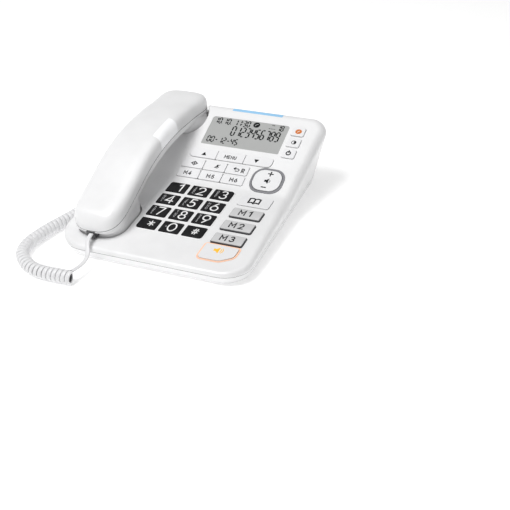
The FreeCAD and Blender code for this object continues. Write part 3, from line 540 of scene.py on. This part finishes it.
PAD_CORNERS = {(3, 0): 0, (3, 2): 1, (0, 2): 2, (0, 0): 3}  # (row, column): which corner
# The rim round a number key: margin outside the key, and height above the panel.
RIM_PROFILE = ((0.42, -0.6), (0.42, 0.22), (0.52, 0.32), (1.0, 0.32), (1.2, 0.2),
               (1.25, -0.1), (1.0, -0.6))


def number_place(row, column):
    """The left and bottom edges of a number key on the front panel."""
    return NUMBER_LEFT + NUMBER_PITCH_X * column, NUMBER_BOTTOM + NUMBER_PITCH_S * (3 - row)


def make_number_marks():
    """The digit on each number key, and its small letters in a column at the left."""
    for row, keys in enumerate(NUMBER_ROWS):
        for column, (digit, letters) in enumerate(keys):
            left, bottom = number_place(row, column)
            middle_x, middle_s = left + NUMBER_WIDTH / 2, bottom + NUMBER_HEIGHT / 2
            key = KEY_NAMES.get(digit, "key_" + digit)
            size = SIGN_SIZE if digit in "*#" else 1.0

            def draw_digit(shell, span):
                add_text(shell, digit, middle_x + DIGIT_SHIFT.get(digit, DIGIT_RIGHT), middle_s,
                         DIGIT_HEIGHT * size, DIGIT_STROKE * size, span)

            def draw_letters(shell, span):
                pitch = min(LETTER_PITCH, LETTER_ROOM / len(letters))
                first = middle_s + pitch * (len(letters) - 1) / 2
                height = min(LETTER_HEIGHT, pitch - LETTER_SPACE)
                for k, letter in enumerate(letters):
                    add_text(shell, letter, middle_x - LETTER_LEFT, first - pitch * k, height,
                             LETTER_STROKE, span)

            mark(key + "_digit", key, FRONT_TILT, NUMBER_PROUD, "white_ink",
                 draw_digit)
            if letters:
                mark(key + "_letters", key, FRONT_TILT, NUMBER_PROUD, "grey_ink",
                     draw_letters)


def number_radii(row, column):
    """A number key's corner radii. The outer corners of the whole keypad are rounder."""
    radii = [KEY_CORNER] * 4
    if (row, column) in PAD_CORNERS:
        radii[PAD_CORNERS[(row, column)]] = PAD_CORNER
    return radii


def make_number_rims():
    """A low white rim round each number key, standing on the panel."""
    shell = bmesh.new()
    for row in range(4):
        for column in range(3):
            left, bottom = number_place(row, column)
            radii = number_radii(row, column)
            add_outlines(shell, lambda m: rounded(left, left + NUMBER_WIDTH, bottom,
                                                  bottom + NUMBER_HEIGHT, radii, m),
                         RIM_PROFILE, True)
    add_piece("number_key_rims", shell, "white_rim", "base", panel(FRONT_TILT))


# ---------------------------------------- other keys
# The label face on a label key: margin outside the key, and height above the key's top.
LABEL_PROFILE = ((-0.55, -0.1), (-0.45, 0.1), (-0.5, 0.32), (-0.75, 0.42))
LABEL_CORNER = 1.4
LABEL_TEXT, LABEL_STROKE, LABEL_SPACE = 6.2, 1.25, 0.6  # height, stroke, gap in heights
LABEL_LEFT, LABEL_UP = 1.0, 0.4  # how far the text is off the label's middle


def make_memory_labels():
    """The grey faces of the three label keys, with M1 to M3 on them."""
    left, right, lowest, height, pitch = MEMORY
    for row in range(3):
        bottom = lowest + pitch * (2 - row)
        name = "key_memory_%d" % (row + 1)
        shell = bmesh.new()
        levels = [(margin, MEMORY_PROUD + rise) for margin, rise in LABEL_PROFILE]
        add_outlines(shell, lambda m: rounded(left, right, bottom, bottom + height,
                                              [LABEL_CORNER] * 4, m), levels, False)
        add_piece(name + "_label", shell, "label", name + "_body",
                  panel(FRONT_TILT))

        def draw(shell, span):
            add_text(shell, "M%d" % (row + 1), (left + right) / 2 - LABEL_LEFT,
                     bottom + height / 2 + LABEL_UP, LABEL_TEXT, LABEL_STROKE, span, LABEL_SPACE)

        mark(name + "_mark", name, FRONT_TILT, levels[-1][1], "dark_ink", draw)


# In each drawing below, x and y place the mark on its own panel.
def speaker(shell, x, y, size, span, waves):
    """A loudspeaker with some waves, as a share of its size."""
    add_polygon(shell, [(x - 0.5 * size, y - 0.18 * size), (x - 0.22 * size, y - 0.18 * size),
                        (x + 0.12 * size, y - 0.5 * size), (x + 0.12 * size, y + 0.5 * size),
                        (x - 0.22 * size, y + 0.18 * size), (x - 0.5 * size, y + 0.18 * size)],
                span)
    for k in range(waves):
        add_stroke(shell, arc(x + 0.05 * size, y, (0.3 + 0.2 * k) * size,
                              (0.3 + 0.2 * k) * size, -45, 45), 0.09 * size, span)


def draw_triangle(x, y, size, way):
    """A triangle that points up, with way 1, or down, with way -1."""
    def draw(shell, span):
        base_y = y - way * size * 0.45
        points = [(x - size * 0.62, base_y), (x + size * 0.62, base_y),
                  (x, y + way * size * 0.55)]
        add_polygon(shell, points[::way], span)
    return draw


def draw_words(text, x, y, height, width, gap):
    def draw(shell, span):
        add_text(shell, text, x, y, height, width, span, gap)
    return draw


def draw_programme(shell, span):
    """A diamond with a dot: the programming key."""
    x, y = -15.4, 20.3
    add_stroke(shell, [(x - 2.9, y), (x, y + 2.1), (x + 2.9, y), (x, y - 2.1), (x - 2.9, y)],
               0.8, span)
    add_stroke(shell, ring(x, y, 0.62, 0.62), 0.75, span)


def draw_mute(shell, span):
    """A microphone with a bar through it."""
    x, y = 7.5, 20.4
    add_stroke(shell, [(x, y - 0.2), (x, y + 1.4)], 1.7, span)
    add_stroke(shell, arc(x, y - 0.1, 1.7, 1.6, 190, 350), 0.6, span)
    add_stroke(shell, [(x - 2.2, y - 1.8), (x + 2.2, y + 2.2)], 0.6, span)


def draw_recall(shell, span):
    """A returning arrow and the letter R."""
    x, y = 26.6, 20.3
    add_stroke(shell, [(x - 2.1, y + 1.0), (x + 1.4, y + 1.0)]
               + arc(x + 1.4, y - 0.3, 1.3, 1.3, 75, -90) + [(x - 0.6, y - 1.6)], 0.85, span)
    add_stroke(shell, [(x - 1.1, y + 2.2), (x - 2.5, y + 1.0), (x - 1.1, y - 0.2)], 0.85, span)
    add_text(shell, "R", 33.2, 20.0, 4.1, 0.95, span)


def draw_book(shell, span):
    """An open book: the phone book key."""
    x, y = 58.4, -13.6
    for side in (-1, 1):
        outline = [(x, y + 2.6), (x + side * 2.0, y + 3.5), (x + side * 4.9, y + 2.9),
                   (x + side * 4.9, y - 3.2), (x + side * 2.0, y - 2.5), (x, y - 3.6),
                   (x, y + 2.6)]
        add_stroke(shell, outline, 1.5, span)


def draw_badge(shell, span):
    """A round badge for the louder-sound key."""
    x, y = 68.0, 72.5
    add_polygon(shell, ring(x, y, 3.1, 2.75)[:-1], span)


def draw_badge_mark(shell, span):
    """A small handset on the badge, curved round a point at its lower right."""
    x, y = 69.2, 71.3
    add_stroke(shell, arc(x, y, 2.0, 1.9, 100, 170), 0.55, (span[0], span[1] + INK))


def draw_contrast(shell, span):
    """A circle with its right half filled: the display's contrast."""
    x, y = 68.0, 59.6
    add_stroke(shell, ring(x, y, 2.1, 1.9), 0.6, span)
    add_polygon(shell, arc(x, y, 2.1, 1.9, -90, 90), span)


def draw_power(shell, span):
    """The usual sign for power: an open ring with a bar."""
    x, y = 67.3, 46.8
    add_stroke(shell, arc(x, y, 1.9, 1.9, 120, 420), 1.15, span)
    add_stroke(shell, [(x, y + 1.0), (x, y + 2.8)], 1.15, span)


def draw_volume(shell, span):
    """A plus, a loudspeaker and a minus, from the top of the rocker down."""
    x, plus_y, speaker_y, minus_y = 58.9, 21.1, 13.1, 6.0
    add_text(shell, "+", x + 1.2, plus_y, 7.6, 1.1, span)
    speaker(shell, x + 1.0, speaker_y, 6.2, span, 1)
    add_stroke(shell, [(x - 2.4, minus_y), (x + 1.6, minus_y)], 1.1, span)


def draw_handsfree(shell, span):
    speaker(shell, 57.4, -85.4, 8.0, span, 2)


MEMORY_TEXT = (3.6, 0.86, 0.5)  # M4 to M6: height, stroke, gap in heights
MENU_TEXT = (3.2, 0.74, 0.36)
# The dark marks on the display's panel: their keys, how proud these are, and the drawings.
REAR_MARKS = (("key_up", NAVIGATION_PROUD, draw_triangle(-10.4, 32.3, 3.9, 1)),
              ("key_menu", NAVIGATION_PROUD, draw_words("MENU", 15.8, 32.6, *MENU_TEXT)),
              ("key_down", NAVIGATION_PROUD, draw_triangle(41.3, 33.0, 3.9, -1)),
              ("key_program", FUNCTION_PROUD, draw_programme),
              ("key_mute", FUNCTION_PROUD, draw_mute),
              ("key_recall", FUNCTION_PROUD, draw_recall),
              ("key_memory_4", FUNCTION_PROUD, draw_words("M4", -17.4, 8.7, *MEMORY_TEXT)),
              ("key_memory_5", FUNCTION_PROUD, draw_words("M5", 5.5, 8.6, *MEMORY_TEXT)),
              ("key_memory_6", FUNCTION_PROUD, draw_words("M6", 28.4, 8.7, *MEMORY_TEXT)),
              ("key_contrast", COLUMN_PROUD, draw_contrast),
              ("key_power", COLUMN_PROUD, draw_power))


def make_key_marks():
    for key, proud, draw in REAR_MARKS:
        mark(key + "_mark", key, REAR_TILT, proud, "dark_ink", draw)
    mark("key_amplifier_badge", "key_amplifier", REAR_TILT, COLUMN_PROUD, "orange_ink",
         draw_badge)
    mark("key_amplifier_mark", "key_amplifier", REAR_TILT, COLUMN_PROUD, "white_ink",
         draw_badge_mark)
    mark("key_phonebook_mark", "key_phonebook", FRONT_TILT, BOOK_PROUD, "dark_ink",
         draw_book)
    mark("volume_rocker_marks", "volume_rocker", REAR_TILT, VOLUME_PROUD, "dark_ink",
         draw_volume)
    mark("key_handsfree_mark", "key_handsfree", FRONT_TILT, HANDSFREE_PROUD, "amber",
         draw_handsfree)


# ---------------------------------------- display
SEGMENTS = {"a": ((0, 1), (1, 1)), "b": ((1, 1), (1, 0.5)), "c": ((1, 0.5), (1, 0)),
            "d": ((1, 0), (0, 0)), "e": ((0, 0), (0, 0.5)), "f": ((0, 0.5), (0, 1)),
            "g": ((0, 0.5), (1, 0.5))}
DIGIT_SEGMENTS = {"0": "abcdef", "1": "bc", "2": "abged", "3": "abgcd", "4": "fgbc",
                  "5": "afgcd", "6": "afgedc", "7": "abc", "8": "abcdefg", "9": "abcdfg"}
SEGMENT_SHORT = 0.16  # how short of a corner a bar ends, in widths
# How far a sign that isn't a figure moves the next one on, as a share of the pitch.
SIGN_PITCH = {" ": 0.55, ".": 0.28, ":": 0.2}
DOT_HEIGHTS = {".": (0.0,), ":": (0.28, 0.72)}
DISPLAY_SPAN = (DISPLAY_TOP - 0.01, DISPLAY_TOP + 0.04)
DISPLAY_MARK = 0.03  # how far the badge's mark stands above the badge
# The display's figures: left and bottom, a figure's width and height, pitch, bar width.
DISPLAY_TEXTS = (("10.10. 11:30", -16.2, 70.6, (2.4, 6.5), 3.95, 1.2),
                 ("0123456789", 4.6, 58.4, (3.3, 10.6), 4.86, 1.35),
                 ("00-12-45", -15.4, 48.0, (2.6, 6.4), 3.95, 1.15),
                 ("18", 46.8, 71.0, (2.2, 6.3), 3.4, 1.05))


def add_bar(shell, start, end, width, span):
    """A display segment: a bar with pointed ends, a little short of its corners."""
    start, end = Vector(start), Vector(end)
    along = (end - start).normalized()
    side = Vector((-along.y, along.x)) * width / 2
    a = start + along * width * SEGMENT_SHORT
    b = end - along * width * SEGMENT_SHORT
    inner = along * width / 2
    points = [a, a + inner - side, b - inner - side, b, b - inner + side, a + inner + side]
    add_polygon(shell, [(p.x, p.y) for p in points], span)


def add_segment_text(shell, text, left, bottom, size, pitch, width, span):
    """Seven-segment figures; size is (width, height). A dot and a colon take less room."""
    for c in text:
        if c in DIGIT_SEGMENTS:
            for segment in DIGIT_SEGMENTS[c]:
                start, end = SEGMENTS[segment]
                add_bar(shell, (left + start[0] * size[0], bottom + start[1] * size[1]),
                        (left + end[0] * size[0], bottom + end[1] * size[1]), width, span)
            left += pitch
        elif c == "-":
            add_bar(shell, (left, bottom + size[1] / 2), (left + size[0], bottom + size[1] / 2),
                    width, span)
            left += pitch
        else:
            for share in DOT_HEIGHTS.get(c, ()):
                y = bottom + share * size[1]
                add_polygon(shell, rounded(left - 0.9, left - 0.2, y - 0.05, y + 0.65,
                                           [0.2] * 4, 0.0, 2), span)
            left += pitch * SIGN_PITCH[c]


def draw_display(shell, span):
    """All the display's figures, with two dots and three dashes before its last ones."""
    for text, left, bottom, size, pitch, width in DISPLAY_TEXTS:
        add_segment_text(shell, text, left, bottom, size, pitch, width, span)
    dot_left, dot_bottom, dot_pitch, dot_size = 40.6, 76.0, 1.5, 1.0
    for k in range(2):
        left = dot_left + dot_pitch * k
        add_polygon(shell, rounded(left, left + dot_size, dot_bottom, dot_bottom + dot_size,
                                   [0.3] * 4, 0.0, 2), span)
    dash_left, dash_y, dash_pitch, dash_length = 38.6, 72.3, 2.3, 1.3
    for k in range(3):
        left = dash_left + dash_pitch * k
        add_stroke(shell, [(left, dash_y), (left + dash_length, dash_y)], 0.55, span)


def draw_display_badge(shell, span):
    x, y = 25.6, 74.3
    add_polygon(shell, ring(x, y, 3.3, 3.1)[:-1], span)


def draw_display_badge_mark(shell, span):
    x, y = 26.9, 73.0
    add_stroke(shell, arc(x, y, 2.3, 2.2, 95, 175), 0.6, (span[0], span[1] + DISPLAY_MARK))


def make_display():
    for name, look, draw in (("display_segments", "segment", draw_display),
                             ("display_badge", "segment", draw_display_badge),
                             ("display_badge_mark", "display", draw_display_badge_mark)):
        shell = bmesh.new()
        draw(shell, DISPLAY_SPAN)
        add_piece(name, shell, look, "base", panel(REAR_TILT))


# ---------------------------------------- cord
# The routes of part.py's three cord solids: the lead from the handset, the middle of the coil,
# and the lead to the base. Some points of the first two are moved here by up to about 3 mm,
# to follow the photograph.
HANDSET_LEAD = ((-53.4, -93.6, 20.2), (-52.9, -99.6, 19.4), (-50.6, -105.6, 16.2),
                (-47.0, -110.8, 12.6), (-45.2, -117.4, 10.6), (-45.2, -124.4, 9.8),
                (-46.0, -130.8, 9.9), (-46.5, -137.38, 10.82))
COIL_ROUTE = ((-44.5, -138.5, 5.9), (-62.5, -139.8, 5.9), (-80.5, -139.4, 5.9),
              (-96.0, -132.5, 5.9), (-108.5, -120.5, 5.9), (-112.5, -105.5, 5.9),
              (-110.8, -88.5, 5.9), (-107.0, -71.5, 5.9), (-102.5, -56.5, 5.9),
              (-100.0, -45.0, 5.9))
BASE_LEAD = ((-100.0, -45.0, 5.9), (-98.9, -38.0, 6.2), (-97.0, -31.2, 6.9),
             (-93.2, -25.4, 7.7), (-86.7, -22.2, 8.0))
CORD_WIDTH, CORD_THICK = 4.0, 1.5
CORD_CROWN = 1.04  # how much thicker the ribbon is along its middle
COIL_RADIUS = 5.8 - CORD_THICK / 2  # from the spine to the middle of the ribbon
COIL_PITCH = 4.3
COIL_START = 2.05  # where along the route the first turn begins
COIL_END = 2.0  # how far before its end the last whole one ends
TURN_STEPS = 36
ROUTE_RESOLUTION = 24
FIRST_TURNS = 8  # turns that go in the first piece, with the lead from the handset
PAINTED_SHADE_TURNS = 3  # how many of them, at the open end, have shade painted dark on the inner face
LAST_TURN = 0.8  # part of a turn that closes in to the base lead
CLOSING_LENGTH = 18.0  # and the distance along the route that this takes
WAY_REACH = 2.0  # how far each way a line's direction is taken
LEAD_STEP = 0.7  # distance between a lead's points


def route_line(points):
    """The points of the smooth line that a route controls, in millimetres."""
    data = bpy.data.curves.new("route", "CURVE")
    data.dimensions = "3D"
    data.resolution_u = ROUTE_RESOLUTION
    spline = data.splines.new("NURBS")
    spline.points.add(len(points) - 1)
    for point, place in zip(spline.points, points):
        point.co = (*place, 1.0)
    spline.order_u = 3
    spline.use_endpoint_u = True
    carrier = bpy.data.objects.new("route", data)
    mesh = bpy.data.meshes.new_from_object(carrier)
    line = [v.co.copy() for v in mesh.vertices]
    bpy.data.meshes.remove(mesh)
    bpy.data.objects.remove(carrier)
    bpy.data.curves.remove(data)
    return line


class Line:
    """A line that can be asked for its point and direction at a distance along it."""

    def __init__(self, points):
        self.points = points
        self.along = [0.0]
        for a, b in zip(points, points[1:]):
            self.along.append(self.along[-1] + (b - a).length)
        self.length = self.along[-1]

    def at(self, distance):
        distance = min(max(distance, 0.0), self.length)
        k = 0
        while k < len(self.points) - 2 and self.along[k + 1] < distance:
            k += 1
        share = (distance - self.along[k]) / (self.along[k + 1] - self.along[k])
        return self.points[k].lerp(self.points[k + 1], share)

    def way(self, distance):
        ahead, behind = self.at(distance + WAY_REACH), self.at(distance - WAY_REACH)
        return (ahead - behind).normalized()


def upward(along):
    """The most upward direction that is square to the way along."""
    return (Vector((0, 0, 1)) - along * along.z).normalized()


def lead_path(lead):
    """The flat lead from the handset to the first turn: points and outward directions."""
    count = round(lead.length / LEAD_STEP)
    path = []
    for k in range(count):
        distance = lead.length * k / count
        out = lead.way(distance).cross(Vector((-1, 0, 0))).normalized()
        path.append((lead.at(distance), out))
    return path


def coil_path(spine, total, first_angle):
    """The helix round the spine: whole turns of total steps, and then a part turn that slows
    down, runs further along and closes in to the spine."""
    closing = round(LAST_TURN * TURN_STEPS)
    first_share = COIL_PITCH * LAST_TURN / CLOSING_LENGTH
    path = []
    for k in range(total + closing + 1):
        share = max(0.0, (k - total) / closing)
        step = min(k, total) + closing * (share - share * share / 2)
        distance = COIL_START + COIL_PITCH * min(k, total) / TURN_STEPS
        distance += CLOSING_LENGTH * share * (first_share + (1.0 - first_share) * share)
        along = spine.way(distance)
        up = upward(along)
        side = along.cross(up)
        angle = first_angle - 2 * math.pi * step / TURN_STEPS
        out = up * math.cos(angle) + side * math.sin(angle)
        radius = COIL_RADIUS * (1 - share * share * (3 - 2 * share))
        path.append((spine.at(distance) + out * radius, out))
    return path


def tail_path(tail, done, first_out):
    """The rest of the lead to the base, which turns from the coil's last direction to flat."""
    count = round((tail.length - done) / LEAD_STEP)
    path = []
    for k in range(1, count + 1):
        distance = done + (tail.length - done) * k / count
        along = tail.way(distance)
        out = first_out.lerp(upward(along), k / count)
        path.append((tail.at(distance), (out - along * out.dot(along)).normalized()))
    return path


def cord_paths():
    """The cord in two: the handset lead with the first turns, and the other turns with the
    base lead. The lead's number of points comes third."""
    lead = lead_path(Line(route_line(HANDSET_LEAD)))
    route = Line(route_line(COIL_ROUTE))
    tail = Line(route_line(BASE_LEAD))
    first_angle = math.asin((HANDSET_LEAD[-1][1] - COIL_ROUTE[0][1]) / COIL_RADIUS)
    total = round((route.length - COIL_START - COIL_END) / COIL_PITCH * TURN_STEPS)
    coil = coil_path(Line(route.points + tail.points[1:]), total, first_angle)
    done = COIL_START + COIL_PITCH * total / TURN_STEPS + CLOSING_LENGTH - route.length
    split = FIRST_TURNS * TURN_STEPS
    return (lead + coil[:split + 1], coil[split:] + tail_path(tail, done, coil[-1][1]),
            len(lead))


def ribbon_section():
    """Points (across, outward) round the ribbon, with the middle of its inner face last."""
    thick = CORD_THICK / 2
    flat = CORD_WIDTH / 2 - thick
    section = []
    for side in (1, -1):
        for k in range(5):
            angle = math.radians(-90 * side + 45 * k)
            section.append((side * flat + thick * math.cos(angle), thick * math.sin(angle)))
        section.append((0.0, side * thick * CORD_CROWN))
    return section


def ribbon(name, path, body, node_names, painted_shade_span):
    """The flat cord along a path, as a closed mesh tube with rounded edges. Between the two
    given points of the path, the inner face gets a dark colour: painted shade."""
    section = ribbon_section()
    loops = []
    for k, (place, out) in enumerate(path):
        before = path[max(0, k - 1)][0]
        after = path[min(len(path) - 1, k + 1)][0]
        along = (after - before).normalized()
        outward = (out - along * out.dot(along)).normalized()
        across = along.cross(outward)
        loops.append([(place + across * a + outward * b) * MM for a, b in section])
    shell = bmesh.new()
    add_loops(shell, loops, False)
    made = add_piece(name, shell, "cord", body, sharp=55.0)
    # the second material paints shade on the inner faces near the coil's open end
    made.data.materials.append(MATERIALS["cord_inside_painted_shade"])
    count = len(section)
    for face in made.data.polygons:
        inner = face.index % count >= count - 2
        if inner and painted_shade_span[0] <= face.index // count < painted_shade_span[1]:
            face.material_index = 1
    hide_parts(*node_names)
    return made


def make_cord():
    near, far, lead_points = cord_paths()
    lead = ribbon("curly_cord_handset_end", near, None, ["cord_handset_lead"],
                  (lead_points, lead_points + PAINTED_SHADE_TURNS * TURN_STEPS))
    coil = ribbon("curly_cord_base_end", far, "base", ["cord_coil", "cord_base_lead"], (0, 0))
    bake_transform(lead)


# ---------------------------------------- stage, metres
CAMERA_PLACE = (0.39831, -0.70345, 0.44965)
CAMERA_RIGHT = (0.91006843, 0.41107012, -0.05288488)
CAMERA_BACK = (0.37556419, -0.76395686, 0.52471082)
LENS, SENSOR = 72.283482, 36.0  # millimetres
CLIP_START, CLIP_END = 0.05, 20.0
FLOOR_HALF, FLOOR_DROP = 4.0, 0.0002  # half its width, and how far below the feet it is
FLOOR_GLOW = 0.36  # lifts the floor to the photograph's plain white
HORIZON, ZENITH = 0.68, 0.24  # brightness of the surroundings, low and overhead
HORIZON_UP, ZENITH_UP = 0.02, 0.45  # the heights between which the one becomes the other
# Each light's place, the point it faces, its width and depth, and its power in watts.
LIGHTS = {"key_light": ((-0.30, -0.46, 1.2), (0.0, -0.05, 0.0), (0.6, 0.6), 12.0),
          "top_light": ((0.0, 0.25, 1.5), (0.0, 0.0, 0.0), (1.2, 0.9), 4.2)}


def make_camera():
    """A camera at the photograph's viewing angle."""
    right = Vector(CAMERA_RIGHT).normalized()
    back = Vector(CAMERA_BACK).normalized()
    up = back.cross(right).normalized()
    right = up.cross(back).normalized()
    data = bpy.data.cameras.new("camera")
    data.sensor_width = SENSOR
    data.lens = LENS
    data.clip_start = CLIP_START
    data.clip_end = CLIP_END
    camera = bpy.data.objects.new("camera", data)
    place = Matrix((right, up, back)).transposed().to_4x4()
    place.translation = Vector(CAMERA_PLACE)
    camera.matrix_world = place
    bpy.context.collection.objects.link(camera)
    bpy.context.scene.camera = camera


def make_floor():
    shell = bmesh.new()
    bmesh.ops.create_grid(shell, x_segments=8, y_segments=8, size=FLOOR_HALF)
    mesh = finish_mesh("floor", shell)
    mesh.materials.append(moulded("floor_paint", (0.90, 0.90, 0.90), rough=(0.85, 0.9),
                                  vary=0.004, grain=300.0, bump=0.0, specular=0.1,
                                  glow=(1.0, 1.0, 1.0), glow_strength=FLOOR_GLOW))
    floor = bpy.data.objects.new("floor", mesh)
    floor.location.z = -FLOOR_DROP
    bpy.context.collection.objects.link(floor)


def area_light(name, place, target, size, power):
    data = bpy.data.lights.new(name, "AREA")
    data.shape = "RECTANGLE"
    data.size, data.size_y = size
    data.energy = power
    lamp = bpy.data.objects.new(name, data)
    lamp.location = place
    way = Vector(target) - Vector(place)
    lamp.rotation_mode = "QUATERNION"
    lamp.rotation_quaternion = way.to_track_quat("-Z", "Y")
    bpy.context.collection.objects.link(lamp)


def make_lights():
    """Two soft lamps, and pale surroundings that are brighter low down than overhead."""
    world = bpy.data.worlds.new("studio")
    world.use_nodes = True
    nodes, links = world.node_tree.nodes, world.node_tree.links
    place = nodes.new("ShaderNodeTexCoord")
    split = nodes.new("ShaderNodeSeparateXYZ")
    links.new(place.outputs["Generated"], split.inputs["Vector"])
    ramp = nodes.new("ShaderNodeValToRGB")
    for element, height, level in zip(ramp.color_ramp.elements, (HORIZON_UP, ZENITH_UP),
                                      (HORIZON, ZENITH)):
        element.position = height
        element.color = (level, level, level, 1.0)
    links.new(split.outputs["Z"], ramp.inputs["Fac"])
    links.new(ramp.outputs["Color"], nodes["Background"].inputs["Color"])
    bpy.context.scene.world = world
    bpy.context.scene.view_settings.view_transform = "Standard"
    for name, (lamp_place, target, size, power) in LIGHTS.items():
        area_light(name, lamp_place, target, size, power)


# ---------------------------------------- everything
paint_nodes()
make_painted_seam_shadow("case_seam_painted_shadow", "base_bottom_cover", "base", CASE_GAP)
make_painted_seam_shadow("handset_seam_painted_shadow", "handset_inner_shell", "handset_body", HANDSET_GAP)
make_number_marks()
make_number_rims()
make_memory_labels()
make_key_marks()
make_display()
make_cord()
make_camera()
make_floor()
make_lights()
